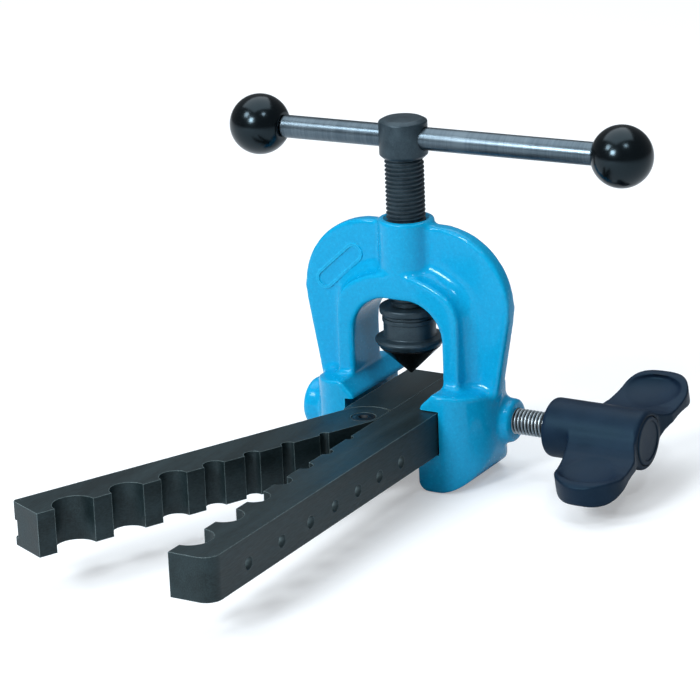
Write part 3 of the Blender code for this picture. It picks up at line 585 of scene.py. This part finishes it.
FINISHES = {
    # die steel: the lighter edge colour is partly real wear on the blackened steel, partly a painted
    # highlight along the edges.
    "die_steel": finish("die_steel", (0.005, 0.013, 0.015), (0.019, 0.037, 0.043), (0.36, 0.5), 0.45,
                        90.0, 1500.0, (1.0, 0.12, 1.0), 0.25, (0.2, 0.27, 0.28), 0.0005, 12.0),
    "dark_pin": finish("dark_pin", (0.01, 0.012, 0.014), (0.025, 0.03, 0.034), (0.25, 0.4), 0.8,
                       300.0, 2500.0, bump=0.15, edge_rub_and_light_color=(0.14, 0.16, 0.17), edge_rub_and_light_width=0.0003),
    # blue enamel: the lighter cyan edge colour is a painted highlight along the rims, not wear.
    "blue_enamel": finish("blue_enamel", (0.001, 0.275, 0.53), (0.002, 0.335, 0.61), (0.2, 0.28), 0.0,
                          700.0, 1500.0, bump=0.035, edge_rub_and_light_color=(0.02, 0.6, 0.88), edge_rub_and_light_width=0.0012,
                          edge_rub_and_light_gain=3.0, constants=(("Specular IOR Level", 0.15),
                                                    ("Specular Tint", (0.5, 0.9, 1.0, 1.0)),
                                                    ("Coat Weight", 0.3), ("Coat Roughness", 0.08))),
    "black_screw": finish("black_screw", (0.015, 0.015, 0.016), (0.03, 0.03, 0.032), (0.3, 0.45), 0.7,
                          bump=0.1, edge_rub_and_light_color=(0.12, 0.12, 0.12)),
    "phosphated_steel": finish("phosphated_steel", (0.016, 0.032, 0.044), (0.036, 0.061, 0.078), (0.34, 0.46),
                               0.5, 200.0, 2200.0, bump=0.15, edge_rub_and_light_color=(0.11, 0.15, 0.17), edge_rub_and_light_width=0.0003),
    "burnished_cone": finish("burnished_cone", (0.003, 0.003, 0.004), (0.006, 0.007, 0.008), (0.16, 0.26),
                             0.8, 200.0, 1800.0, (1.0, 1.0, 0.3), 0.08),
    "ball_steel": finish("ball_steel", (0.5, 0.5, 0.5), (0.6, 0.6, 0.6), (0.1, 0.2), 1.0),
    "ground_steel": finish("ground_steel", (0.075, 0.105, 0.13), (0.13, 0.17, 0.2), (0.26, 0.36), 1.0,
                           55.0, 1300.0, (1.0, 0.04, 0.04), 0.04),
    "black_phenolic": finish("black_phenolic", (0.0005, 0.0008, 0.001), (0.001, 0.0015, 0.002), (0.17, 0.22),
                             0.0, 60.0, 900.0, bump=0.02,
                             constants=(("Specular IOR Level", 0.42),
                                        ("Specular Tint", (0.6, 0.85, 1.0, 1.0)))),
    # knob plastic: the near-black edge colour is painted shade along the wing edges.
    "knob_plastic": finish("knob_plastic", (0.005, 0.012, 0.026), (0.009, 0.019, 0.038), (0.38, 0.48), 0.0,
                           90.0, 2600.0, bump=0.15, edge_rub_and_light_color=(0.0005, 0.001, 0.002), edge_rub_and_light_width=0.0012,
                           edge_rub_and_light_gain=10.0, constants=(("Specular IOR Level", 0.16),
                                                      ("Specular Tint", (0.4, 0.8, 1.0, 1.0)))),
    # zinc plate: painted shade darkens the thread roots by distance from the screw axis.
    "zinc_plate": finish("zinc_plate", (0.56, 0.63, 0.67), (0.64, 0.71, 0.75), (0.38, 0.44), 0.9,
                         400.0, 1800.0, bump=0.02,
                         painted_root_shading=((0.0, CLAMP_Y, CLAMP_Z), (0.0, 1.0, 1.0),
                                  CLAMP_RADIUS - 0.9, CLAMP_RADIUS - 0.1)),
}


def piece(name, bm, slot, body, nodes=(), sharp=32.0, bevel=0.0):
    """Turn a shape into a shown piece in metres, on its body, in its finish."""
    bm.transform(Matrix.Scale(TO_METRES, 4))
    mesh = bpy.data.meshes.new(name)
    bm.to_mesh(mesh)
    bm.free()
    obj = bpy.data.objects.new(name, mesh)
    bpy.context.scene.collection.objects.link(obj)
    mesh.shade_smooth()
    if bevel:
        modifier = obj.modifiers.new("edges", "BEVEL")
        modifier.width = bevel * TO_METRES
        modifier.segments = 2
        modifier.limit_method = "ANGLE"
        modifier.angle_limit = math.radians(sharp)
        modifier.harden_normals = True
    else:
        mesh.set_sharp_from_angle(angle=math.radians(sharp))
    mesh.materials.append(FINISHES[slot])
    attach(obj, body)
    if nodes:
        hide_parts(*nodes)
    return obj


# ---------------------------------------------------------------- die bars

def hole_centers():
    """Y and radius of each die hole, from the front end backwards."""
    y = BAR_FRONT_Y + FIRST_HOLE_INSET
    holes = [(y, HOLE_DIAMETERS[0] / 2)]
    for before, land, after in zip(HOLE_DIAMETERS, HOLE_LANDS, HOLE_DIAMETERS[1:]):
        y += before / 2 + land + after / 2
        holes.append((y, after / 2))
    return holes


def notched_line(side):
    """The split face from the rear forwards, with a half-round notch at each hole; side is the jaw's side."""
    points = []
    for y, radius in reversed(hole_centers()):
        opening = math.degrees(math.acos(GAP / 2 / radius))
        middle = 0.0 if side > 0 else 180.0
        points += arc((SPLIT_X, y), radius, middle + side * opening, middle - side * opening, 28)
    return points


def fixed_jaw():
    """Long right bar with the clamp's cone dimples in its outer face."""
    inner_x = SPLIT_X + GAP / 2
    outline = [(inner_x, BAR_REAR_Y), *notched_line(1), (inner_x, BAR_FRONT_Y)]
    outline += arc((FIXED_OUTER_X - CORNER_RADIUS, BAR_FRONT_Y + CORNER_RADIUS), CORNER_RADIUS, -90, 0, 14)
    outline.append((FIXED_OUTER_X, BAR_REAR_Y))
    bar = prism(outline, "Z", -JAW_HEIGHT, 0.0)
    tools = []
    for y, _ in hole_centers():
        cone = [(0.0, FIXED_OUTER_X - DIMPLE_DEPTH), (DIMPLE_SPREAD, FIXED_OUTER_X + DIMPLE_DEPTH)]
        cone.append((0.0, FIXED_OUTER_X + DIMPLE_DEPTH))
        tools.append(spun(cone, "X", (0, y + CLAMP_Y, CLAMP_Z), 32))
    for y in RIVET_PLACES:
        tools.append(rod(RIVET_HOLE_RADIUS, 0.0, FIXED_OUTER_X + OVERCUT, "X", (0, y, RIVET_Z), 32))
    piece("fixed_bar", carved(bar, *tools), "die_steel", "die_set", ["fixed_jaw"], bevel=0.45)


def swing_jaw():
    """Left bar at its open angle, with its upper half carried round the hinge pin."""
    inner_x = SPLIT_X - GAP / 2
    stop_reach = SPLIT_REACH - GAP / 2
    corner_y = (stop_reach - SPLIT_REACH * math.cos(OPEN_ANGLE)) / math.sin(OPEN_ANGLE)
    knuckle_start = math.degrees(OPEN_ANGLE + math.acos(stop_reach / KNUCKLE_RADIUS))
    outline = [(inner_x, PIVOT.y + corner_y)]
    outline += arc((PIVOT.x, PIVOT.y), KNUCKLE_RADIUS, knuckle_start, 180, 32)
    outline += [(SWING_OUTER_X, PIVOT.y - 2.0), (SWING_OUTER_X, BAR_FRONT_Y + CHAMFER)]
    outline += [(SWING_OUTER_X + CHAMFER, BAR_FRONT_Y), (inner_x, BAR_FRONT_Y)]
    outline += reversed(notched_line(-1))
    bar = prism(outline, "Z", -JAW_HEIGHT, 0.0)
    groove = block((SWING_OUTER_X - OVERCUT, BAR_FRONT_Y - OVERCUT, GROOVE_TOP - GROOVE_HEIGHT),
                   (SWING_OUTER_X + GROOVE_DEPTH, BAR_REAR_Y, GROOVE_TOP))
    below = -JAW_HEIGHT - OVERCUT
    bore = PIN_RADIUS + RUNNING
    sink = PIN_HEAD_RADIUS + 2 * RUNNING
    seat = PIN_HEAD_Z - GAP
    pin = [(0.0, below), (bore, below), (bore, seat), (sink, seat), (sink, OVERCUT), (0.0, OVERCUT)]
    lug = rod(KNUCKLE_RADIUS + 2 * GAP, below, -JAW_HEIGHT / 2 + GAP / 2, "Z", PIVOT, 72)
    bar = carved(bar, groove, spun(pin, "Z", PIVOT, 48), lug)
    opened = Matrix.Rotation(-OPEN_ANGLE, 4, "Z")
    bar.transform(Matrix.Translation(PIVOT) @ opened @ Matrix.Translation(-PIVOT))
    piece("swinging_bar", bar, "die_steel", "swing_bar", ["swing_jaw"], bevel=0.4)


def hinge():
    """Rear block with its lug and rivet holes, and the hinge pin."""
    inner_x = SPLIT_X - GAP / 2
    flat = math.degrees(math.acos(SPLIT_REACH / KNUCKLE_RADIUS))
    nose = arc((PIVOT.x, PIVOT.y), KNUCKLE_RADIUS, 180, 360 - flat, 32)
    rear = PIVOT.y + HINGE_SHOULDER
    root = rear + 2.0
    lug = prism(nose + [(inner_x, root), (nose[0][0], root)], "Z", -JAW_HEIGHT, -JAW_HEIGHT / 2 - GAP)
    body = block((SWING_OUTER_X, rear, -JAW_HEIGHT), (inner_x, BAR_REAR_Y, 0.0))
    pocket = rod(KNUCKLE_RADIUS + 2 * GAP, -JAW_HEIGHT / 2 - GAP, OVERCUT, "Z", PIVOT, 72)
    body = carved(carved(body, pocket), lug, operation="UNION")
    tools = [rod(PIN_RADIUS + RUNNING, -JAW_HEIGHT - OVERCUT, 0.0, "Z", PIVOT, 48)]
    tools.append(block((SWING_OUTER_X - OVERCUT, PIVOT.y - 20.0, GROOVE_TOP - GROOVE_HEIGHT),
                       (SWING_OUTER_X + GROOVE_DEPTH, BAR_REAR_Y + OVERCUT, GROOVE_TOP)))
    for y in RIVET_PLACES:
        tools.append(rod(RIVET_HOLE_RADIUS, SWING_OUTER_X - OVERCUT, inner_x + OVERCUT, "X",
                         (0, y, RIVET_Z), 32))
    piece("rear_block", carved(body, *tools), "die_steel", "die_set", ["hinge_block"], bevel=0.4)
    head = PIN_HEAD_RADIUS
    profile = [(0.0, PIN_END_Z), (PIN_RADIUS, PIN_END_Z, 0.5), (PIN_RADIUS, PIN_HEAD_Z), (head, PIN_HEAD_Z)]
    profile += [(head, 0.0, 0.6), (2.4, 0.0, 0.3), (1.4, -PIN_SOCKET_DEPTH, 0.3), (0.0, -PIN_SOCKET_DEPTH)]
    piece("hinge_pin_turned", spun(rounded(profile), "Z", PIVOT), "dark_pin", "die_set", ["hinge_pin"])


# ---------------------------------------------------------------- yoke

def arch_line():
    """The opening's contour from the right foot over to the left one."""
    side = [(ARCH_X, FOOT_TOP_Z - 8.0)]
    side += arc((ARCH_X - ARCH_CORNER, ARCH_TOP_Z - ARCH_CORNER), ARCH_CORNER, 0, 90, 16)
    return mirrored(side)


def web_shape():
    """Thin web: two lobes over nearly straight sides, open under the arch, made full for the melting."""
    side = [(WEB_FOOT_X + SHRINKAGE, FOOT_TOP_Z - 4.0)]
    side += arc((LOBE_X, LOBE_Z), LOBE_RADIUS + SHRINKAGE, -10, 90, 24)
    return prism(mirrored(side) + list(reversed(arch_line())), "Y", -HALF_WEB, HALF_WEB)


def rib_shape():
    """Deep rib that frames the arch."""
    crown = RIB_CROWN_Z - RIB_CROWN_RADIUS
    shoulder = RIB_X - RIB_SHOULDER
    reach = RIB_CROWN_RADIUS - RIB_SHOULDER
    lean = math.acos(shoulder / reach)
    side = [(RIB_X, FOOT_TOP_Z - 3.0)]
    side += arc((shoulder, crown + reach * math.sin(lean)), RIB_SHOULDER, 0, math.degrees(lean), 12)
    side += arc((0.0, crown), RIB_CROWN_RADIUS, math.degrees(lean) + 3.0, 88, 10)
    outline = mirrored(side)
    return prism(outline + list(reversed(arch_line())), "Y", -HALF_RIB, HALF_RIB)


def lozenge():
    """Plain raised outline on the left lobe's front face, round-ended and leaning with the lobe."""
    half = LOZENGE_HALF
    rings = []
    for end, depth in zip(LOZENGE_RADII, (LOZENGE_HEIGHT, OVERCUT)):
        outline = arc((half, 0.0), end, -90, 90, 12) + arc((-half, 0.0), end, 90, 270, 12)
        rings.append(prism(outline, "Y", -HALF_WEB - depth, -HALF_WEB + depth))
    outline = carved(*rings)
    outline.transform(Matrix.Translation(LOZENGE_PLACE) @ Matrix.Rotation(LOZENGE_LEAN, 4, "Y"))
    return outline


def foot_shape(side):
    """A foot before its channel is milled: the front view met with the plan."""
    under = FOOT_UNDER_RADIUS
    front = [(LOWER_LIP_X, -20.0), (UPPER_LIP_X, ROOF_Z + 1.4), (ARCH_X + 0.2, ROOF_Z + 7.0)]
    front += [(ARCH_X + 0.2, FOOT_TOP_Z + 2.0), (FOOT_OUTER_X - 8.0, FOOT_TOP_Z + 0.5)]
    front += arc((FOOT_OUTER_X - 6.0, FOOT_TOP_Z - 6.0), 6.0, 75, 0, 6)
    front += arc((FOOT_OUTER_X - under, FOOT_BOTTOM_Z + under), under, 0, -90, 12)
    front += arc((LOWER_LIP_X + 5.0, FOOT_BOTTOM_Z + 5.0), 5.0, -90, -180, 6)
    half = FOOT_HALF_DEPTH
    reach = FOOT_OUTER_X - FOOT_FRONT_X
    plan = [(FOOT_FRONT_X + reach * (x - FOOT_FRONT_X), half * y)
            for x, y in arc((FOOT_FRONT_X, 0.0), 1.0, -90, 90, 32)]
    plan = [(LOWER_LIP_X - 1.0, -half), *plan, (LOWER_LIP_X - 1.0, half)]
    shape = prism([(side * x, z) for x, z in front], "Y", -half, half)
    outline = prism([(side * x, y) for x, y in plan], "Z", FOOT_BOTTOM_Z - 1.0, FOOT_TOP_Z + 12.0)
    return carved(shape, outline, operation="INTERSECT")


def yoke():
    """One casting, melted from its shapes, with its milled channel and bores cut crisp afterwards."""
    boss = rod(BOSS_RADIUS, ARCH_TOP_Z + 2.0, BOSS_TOP_Z, edge=0.8)
    clamp_boss = rod(CLAMP_BOSS_RADIUS, 30.0, CLAMP_BOSS_X, "X", (0, CLAMP_Y, CLAMP_Z), edge=2.0)
    guide_boss = rod(GUIDE_BOSS_RADIUS, GUIDE_BOSS_X, -30.0, "X", (0, 0, GUIDE_Z), edge=3.0)
    frame_shape = skinned(gathered(web_shape(), rib_shape()), WEB_VOXEL, WEB_FILLET, soften=0)
    shells = gathered(frame_shape, boss, foot_shape(1), foot_shape(-1), clamp_boss, guide_boss)
    casting = skinned(shells, CASTING_VOXEL, CASTING_FILLET, soften=1)
    half = FOOT_HALF_DEPTH + OVERCUT
    channel = [(RIGHT_WALL_X, ROOF_Z), (UPPER_LIP_X + 1.4, ROOF_Z), (UPPER_LIP_X - 3.0, ROOF_Z + 0.4)]
    channel += [(-UPPER_LIP_X + 3.0, ROOF_Z + 0.4), (-UPPER_LIP_X - 1.4, ROOF_Z), (LEFT_WALL_X, ROOF_Z)]
    channel += [(LEFT_WALL_X, FLOOR_Z), (-LOWER_LIP_X - 1.5, FLOOR_Z), (-LOWER_LIP_X + 3.0, FLOOR_Z - 1.0)]
    channel += [(LOWER_LIP_X - 3.0, FLOOR_Z - 1.0), (LOWER_LIP_X + 1.5, FLOOR_Z), (RIGHT_WALL_X, FLOOR_Z)]
    tools = [prism(channel, "Y", -half, half)]
    bore = SPINDLE_RADIUS + RUNNING
    rim = bore + 1.5
    top = BOSS_TOP_Z + OVERCUT
    bored = [(0.0, ARCH_TOP_Z - 5.0), (bore, ARCH_TOP_Z - 5.0), (bore, BOSS_TOP_Z - 1.6)]
    tools.append(spun(bored + [(rim, BOSS_TOP_Z - 0.1), (rim, top), (0.0, top)]))
    tools.append(rod(CLAMP_RADIUS + RUNNING, RIGHT_WALL_X - OVERCUT, CLAMP_BOSS_X + OVERCUT, "X",
                     (0, CLAMP_Y, CLAMP_Z)))
    tools.append(rod(GUIDE_RADIUS + RUNNING, GUIDE_BOSS_X - OVERCUT, LEFT_WALL_X + OVERCUT, "X",
                     (0, 0, GUIDE_Z)))
    casting = carved(carved(casting, *tools), lozenge(), operation="UNION")
    piece("yoke_casting", casting, "blue_enamel", "yoke_frame", ["yoke"], sharp=40.0)


def guide_screw():
    """Grub screw with a dog point and a hexagon socket."""
    back = GUIDE_BOSS_X + 1.5
    tip = LEFT_WALL_X + 2.4
    profile = [(0.0, back), (GUIDE_RADIUS, back, 0.8), (GUIDE_RADIUS, LEFT_WALL_X - 1.5)]
    profile += [(GUIDE_POINT_RADIUS, LEFT_WALL_X - 0.5), (GUIDE_POINT_RADIUS, tip, 0.5), (0.0, tip)]
    socket = [(y, z + GUIDE_Z) for y, z in hexagon(GUIDE_SOCKET_WIDTH)]
    shape = carved(spun(rounded(profile), "X", (0, 0, GUIDE_Z)),
                   prism(socket, "X", back - OVERCUT, back + 5.0))
    piece("guide_screw_turned", shape, "black_screw", "yoke_frame", ["guide_screw"])


# ---------------------------------------------------------------- spindle, swivel head, cross bar

def spindle():
    """Forcing screw with a real thread, its journal and its cross-drilled head."""
    shank = thread(SPINDLE_RADIUS, SPINDLE_PITCH, COLLAR_TOP_Z + GAP, HEAD_LOW - 0.8, 1.6, 48)
    journal = [(0.0, JOURNAL_END_Z), (JOURNAL_RADIUS, JOURNAL_END_Z, 0.6)]
    journal += [(JOURNAL_RADIUS, JOURNAL_ROOT_Z), (0.0, JOURNAL_ROOT_Z)]
    head = [(0.0, HEAD_LOW - 1.4), (7.4, HEAD_LOW - 1.4), (HEAD_RADIUS - 1.6, HEAD_LOW - 0.7, 0.5)]
    head += [(HEAD_RADIUS, HEAD_LOW + 0.8, 0.8), (HEAD_RADIUS, HEAD_HIGH - 1.0, 0.9)]
    head += [(HEAD_RADIUS - 2.4, HEAD_HIGH + 0.3, 2.0), (0.0, HEAD_HIGH + 1.0)]
    hole = rod(TOMMY_RADIUS + 0.2, -20.0, 20.0, "X", steps=64)
    hole.transform(Matrix.Translation((0, 0, BAR_AXIS_Z)) @ Matrix.Rotation(TOMMY_YAW, 4, "Z"))
    shape = gathered(shank, spun(rounded(journal)), carved(spun(rounded(head)), hole))
    piece("forcing_spindle", shape, "phosphated_steel", "forcing_screw", ["spindle"])


def swivel_head():
    """Collar, sleeve with its bulged flange, retaining ring and cone."""
    top = COLLAR_TOP_Z - GAP
    inner = JOURNAL_RADIUS + RUNNING
    collar = [(inner, COLLAR_Z), (COLLAR_RADIUS, COLLAR_Z, 0.7), (COLLAR_RADIUS, top, 0.7), (inner, top)]
    piece("collar", spun(rounded(collar)), "phosphated_steel", "forcing_screw", ["thrust_collar"])
    seat = CONE_RIM_Z + GAP
    low = RING_Z - 1.1
    high = RING_Z + 1.1
    groove = SLEEVE_RADIUS - 1.0
    sleeve = [(0.0, seat), (CONE_RADIUS + 0.3, seat, 0.3), (FLANGE_RADIUS - 0.4, seat + 2.0, 1.2)]
    sleeve += [(FLANGE_RADIUS, seat + 3.0, 0.8), (FLANGE_RADIUS - 1.2, seat + 3.8, 0.6)]
    sleeve += [(SLEEVE_RADIUS, seat + 4.4, 0.6), (SLEEVE_RADIUS, low, 0.15), (groove, low), (groove, high)]
    sleeve += [(SLEEVE_RADIUS, high, 0.15), (SLEEVE_RADIUS, SLEEVE_TOP_Z, 0.5), (inner, SLEEVE_TOP_Z)]
    sleeve += [(inner, BORE_FLOOR_Z), (0.0, BORE_FLOOR_Z)]
    piece("cone_sleeve", spun(rounded(sleeve)), "phosphated_steel", "swivel_head", ["cone_holder"])
    outer = SLEEVE_RADIUS + 0.5
    ring = [(groove + RUNNING, low + RUNNING), (outer, low + RUNNING, 0.3)]
    ring += [(outer, high - RUNNING, 0.3), (groove + RUNNING, high - RUNNING)]
    piece("spring_ring", spun(rounded(ring)), "phosphated_steel", "swivel_head", ["retaining_ring"])
    cone = [(0.0, TIP_Z + 0.1), (0.5, TIP_Z + 0.35, 0.2), (CONE_RADIUS, CONE_RIM_Z - 0.4, 0.2)]
    cone += [(CONE_RADIUS, CONE_RIM_Z), (0.0, CONE_RIM_Z)]
    piece("cone_turned", spun(rounded(cone), steps=128), "burnished_cone", "swivel_head", ["flaring_cone"])


def cross_bar():
    """The sliding bar, ground in faint bands, and its two ball knobs."""
    place = Matrix.Rotation(TOMMY_YAW, 4, "Z") @ Matrix.Translation((TOMMY_OFFSET, 0, BAR_AXIS_Z))
    half = BALL_SPACING / 2
    neck = math.sqrt(BALL_RADIUS ** 2 - BALL_NECK_RADIUS ** 2)
    end = half - neck - GAP
    stud = half - neck + STUD_LENGTH
    profile = [(0.0, -stud), (STUD_RADIUS, -stud, 0.4), (STUD_RADIUS, -end), (TOMMY_RADIUS, -end, 0.5)]
    profile += [(r, -h, *rest) for r, h, *rest in reversed(profile)]
    bar = spun(rounded(profile), "X")
    bar.transform(place)
    piece("cross_bar_ground", bar, "ground_steel", "cross_bar", ["tommy_bar"])
    hole = STUD_RADIUS + RUNNING
    start = math.degrees(math.acos(neck / BALL_RADIUS))
    depth = neck - STUD_HOLE_DEPTH
    ball = [(0.0, depth), (hole, depth), (hole, neck), (BALL_NECK_RADIUS - 0.5, neck)]
    ball += [(x, y) for y, x in arc((0.0, 0.0), BALL_RADIUS, start + 2.0, 180, 48)]
    ball[-1] = (0.0, -BALL_RADIUS)
    for side, name in ((-1, "left"), (1, "right")):
        shape = spun(ball, "X")
        turn = Matrix.Rotation(math.pi if side > 0 else 0.0, 4, "Z")
        shape.transform(place @ Matrix.Translation((side * half, 0, 0)) @ turn)
        piece(f"ball_{name}", shape, "black_phenolic", "cross_bar", [f"ball_knob_{name}"])


# ---------------------------------------------------------------- clamp screw and knob

def wing_outline():
    """End view of the two wings, an S: thick tips, hollowed on opposite sides by the hub."""
    half = WING_HALF
    tip = WING_RADIUS - 0.6 * half
    upper = [(10.3, 8.6), (12.7, 6.4), (16.0, 4.1), (20.0, 2.8), (25.0, 2.2), (31.0, 2.5), (36.5, 3.5)]
    upper += [(41.0, 4.8), (44.5, 5.6)]
    wing = rounded(upper + arc((tip, 0.0), half, 84, -84, 12) + [(a, -b) for a, b in reversed(upper)])
    return wing + [(-a, -b) for a, b in wing]


def wing_plan():
    """The wings seen square on: two round lobes leaning outwards."""
    lobe = WING_RADIUS - WING_LOBE
    half = [(HUB_START_X + 14.5, 0.9 * HUB_RADIUS)]
    half += reversed(arc((WING_LOBE_X, lobe), WING_LOBE, 0, 176, 32))
    half += [(WING_LOBE_X + WING_LOBE - 0.8, 1.5 * HUB_RADIUS), (HUB_END_X - 0.6, 0.9 * HUB_RADIUS)]
    outline = half + [(x, -r) for x, r in reversed(half)]
    return prism(outline, "Z", -WING_RADIUS, WING_RADIUS)


def wing_scoops():
    """Four shallow dishes, one in each face of each wing, for finger and thumb."""
    dishes = []
    for side in (1, -1):
        for face in (1, -1):
            place = SCOOP_PLACE * Vector((1, side, face))
            dish = bmesh.new()
            bmesh.ops.create_uvsphere(dish, u_segments=48, v_segments=24, radius=1.0)
            dish.transform(Matrix.Translation(place) @ Matrix.Diagonal((*SCOOP_SIZE, 1.0)))
            dishes.append(dish)
    return dishes


def wing_knob():
    """Moulded knob: hub and wings melted together, with crisp pockets for the screw and the end cap."""
    at = (0, CLAMP_Y, CLAMP_Z)
    wings = prism(wing_outline(), "X", HUB_START_X, HUB_END_X + 5.0)
    wings = carved(wings, wing_plan(), operation="INTERSECT")
    wings = carved(wings, *wing_scoops())
    wings.transform(Matrix.Translation(at) @ Matrix.Rotation(WING_ANGLE, 4, "X"))
    hub = rod(HUB_RADIUS, HUB_START_X, HUB_END_X, "X", at, edge=2.4)
    knob = skinned(gathered(wings, hub), KNOB_VOXEL, KNOB_FILLET, soften=1)
    pocket = [(y + CLAMP_Y, z + CLAMP_Z) for y, z in hexagon(INSERT_WIDTH)]
    screw_end = HUB_START_X + CLAMP_SCREW_DEPTH
    tools = [prism(pocket, "X", HUB_START_X - OVERCUT, HUB_START_X + INSERT_DEPTH)]
    tools.append(rod(CLAMP_RADIUS + RUNNING, HUB_START_X - OVERCUT, screw_end + OVERCUT, "X", at))
    tools.append(rod(CAP_RADIUS + GAP, HUB_END_X - CAP_THICKNESS - GAP, HUB_END_X + 9.0, "X", at))
    piece("knob_moulding", carved(knob, *tools), "knob_plastic", "clamp", ["wing_knob"], sharp=50.0)
    cap = [(0.0, HUB_END_X - CAP_THICKNESS), (CAP_RADIUS, HUB_END_X - CAP_THICKNESS, 0.3)]
    cap += [(CAP_RADIUS, HUB_END_X + 0.4, 0.8), (CAP_RADIUS - 1.9, HUB_END_X + 0.4, 0.3)]
    cap += [(CAP_RADIUS - 2.3, HUB_END_X - 0.1, 0.3), (0.0, HUB_END_X - 0.1)]
    piece("knob_cap", spun(rounded(cap), "X", at), "knob_plastic", "clamp_carrier", ["knob_end_cap"])


def clamp_screw():
    """Zinc-plated clamp screw with a real thread and a cone point."""
    end = HUB_START_X + CLAMP_SCREW_DEPTH
    shank = thread(CLAMP_RADIUS, CLAMP_PITCH, CLAMP_TIP_X + 3.6, end, 1.4, 48)
    point = [(0.0, CLAMP_TIP_X), (0.6, CLAMP_TIP_X), (CLAMP_POINT_RADIUS, CLAMP_TIP_X + 4.0)]
    point += [(CLAMP_POINT_RADIUS, CLAMP_TIP_X + 6.0), (0.0, CLAMP_TIP_X + 6.0)]
    shape = gathered(shank, spun(point))
    shape.transform(Matrix.Translation((0, CLAMP_Y, CLAMP_Z)) @ axis_turn("X"))
    piece("clamp_screw_cut", shape, "zinc_plate", "clamp", ["clamp_screw"])


# ---------------------------------------------------------------- room, light and camera

def studio():
    """Plain pale floor, white surroundings and large soft lights."""
    floor_z = FOOT_BOTTOM_Z * TO_METRES
    bm = bmesh.new()
    bmesh.ops.create_grid(bm, x_segments=1, y_segments=1, size=FLOOR_REACH,
                          matrix=Matrix.Translation((0, 0, floor_z)))
    mesh = bpy.data.meshes.new("floor")
    bm.to_mesh(mesh)
    bm.free()
    floor = bpy.data.objects.new("floor", mesh)
    bpy.context.scene.collection.objects.link(floor)
    mat = bpy.data.materials.new("floor")
    mat.use_nodes = True
    shader = mat.node_tree.nodes["Principled BSDF"]
    shader.inputs["Base Color"].default_value = FLOOR_COLOR
    shader.inputs["Roughness"].default_value = 0.9
    shader.inputs["Emission Color"].default_value = (1, 1, 1, 1)
    direct = mat.node_tree.nodes.new("ShaderNodeLightPath")
    lift = math_node(mat.node_tree, "MULTIPLY", direct.outputs["Is Camera Ray"], FLOOR_LIFT)
    mat.node_tree.links.new(lift, shader.inputs["Emission Strength"])
    mesh.materials.append(mat)
    world = bpy.data.worlds.new("studio")
    world.use_nodes = True
    tree = world.node_tree
    tree.nodes["Background"].inputs["Color"].default_value = SKY_COLOR
    tree.nodes["Background"].inputs["Strength"].default_value = SKY_STRENGTH
    backdrop = tree.nodes.new("ShaderNodeBackground")
    backdrop.inputs["Color"].default_value = (1, 1, 1, 1)
    seen = tree.nodes.new("ShaderNodeLightPath")
    choose = tree.nodes.new("ShaderNodeMixShader")
    tree.links.new(seen.outputs["Is Camera Ray"], choose.inputs["Fac"])
    tree.links.new(tree.nodes["Background"].outputs["Background"], choose.inputs[1])
    tree.links.new(backdrop.outputs["Background"], choose.inputs[2])
    tree.links.new(choose.outputs["Shader"], tree.nodes["World Output"].inputs["Surface"])
    bpy.context.scene.world = world
    for name, where, size, power in LIGHTS:
        data = bpy.data.lights.new(name, "AREA")
        data.shape = "SQUARE"
        data.size = size
        data.energy = power
        data.color = LIGHT_COLOR
        lamp = bpy.data.objects.new(name, data)
        bpy.context.scene.collection.objects.link(lamp)
        lamp.location = where
        lamp.rotation_euler = (-Vector(where)).to_track_quat("-Z", "Y").to_euler()
    bpy.context.scene.view_settings.view_transform = "Standard"


def camera():
    """A long lens from the front right, a little above the bars."""
    level_reach = math.cos(CAMERA_ELEVATION)
    back = Vector((math.sin(CAMERA_AZIMUTH) * level_reach, -math.cos(CAMERA_AZIMUTH) * level_reach,
                   math.sin(CAMERA_ELEVATION)))
    right = (-back).cross(Vector((0, 0, 1))).normalized()
    up = right.cross(-back)
    level = Matrix((right, up, back)).transposed()
    data = bpy.data.cameras.new("camera")
    data.lens = LENS
    data.sensor_width = 36.0
    data.shift_x = 0.0115
    data.shift_y = 0.0113
    data.clip_end = 20.0
    cam = bpy.data.objects.new("camera", data)
    bpy.context.scene.collection.objects.link(cam)
    rolled = level @ Matrix.Rotation(CAMERA_ROLL, 3, "Z")
    cam.matrix_world = Matrix.Translation(CAMERA_PLACE) @ rolled.to_4x4()
    bpy.context.scene.camera = cam


fixed_jaw()
swing_jaw()
hinge()
yoke()
guide_screw()
spindle()
swivel_head()
cross_bar()
wing_knob()
clamp_screw()

# Hidden pieces keep the shape they have and take a finish of their own.
for node, slot in (("block_rivet_1", "dark_pin"), ("block_rivet_2", "dark_pin"),
                   ("thrust_ball", "ball_steel"), ("knob_insert", "zinc_plate")):
    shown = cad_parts[node]
    shown.data.materials.clear()
    shown.data.materials.append(FINISHES[slot])

studio()
camera()
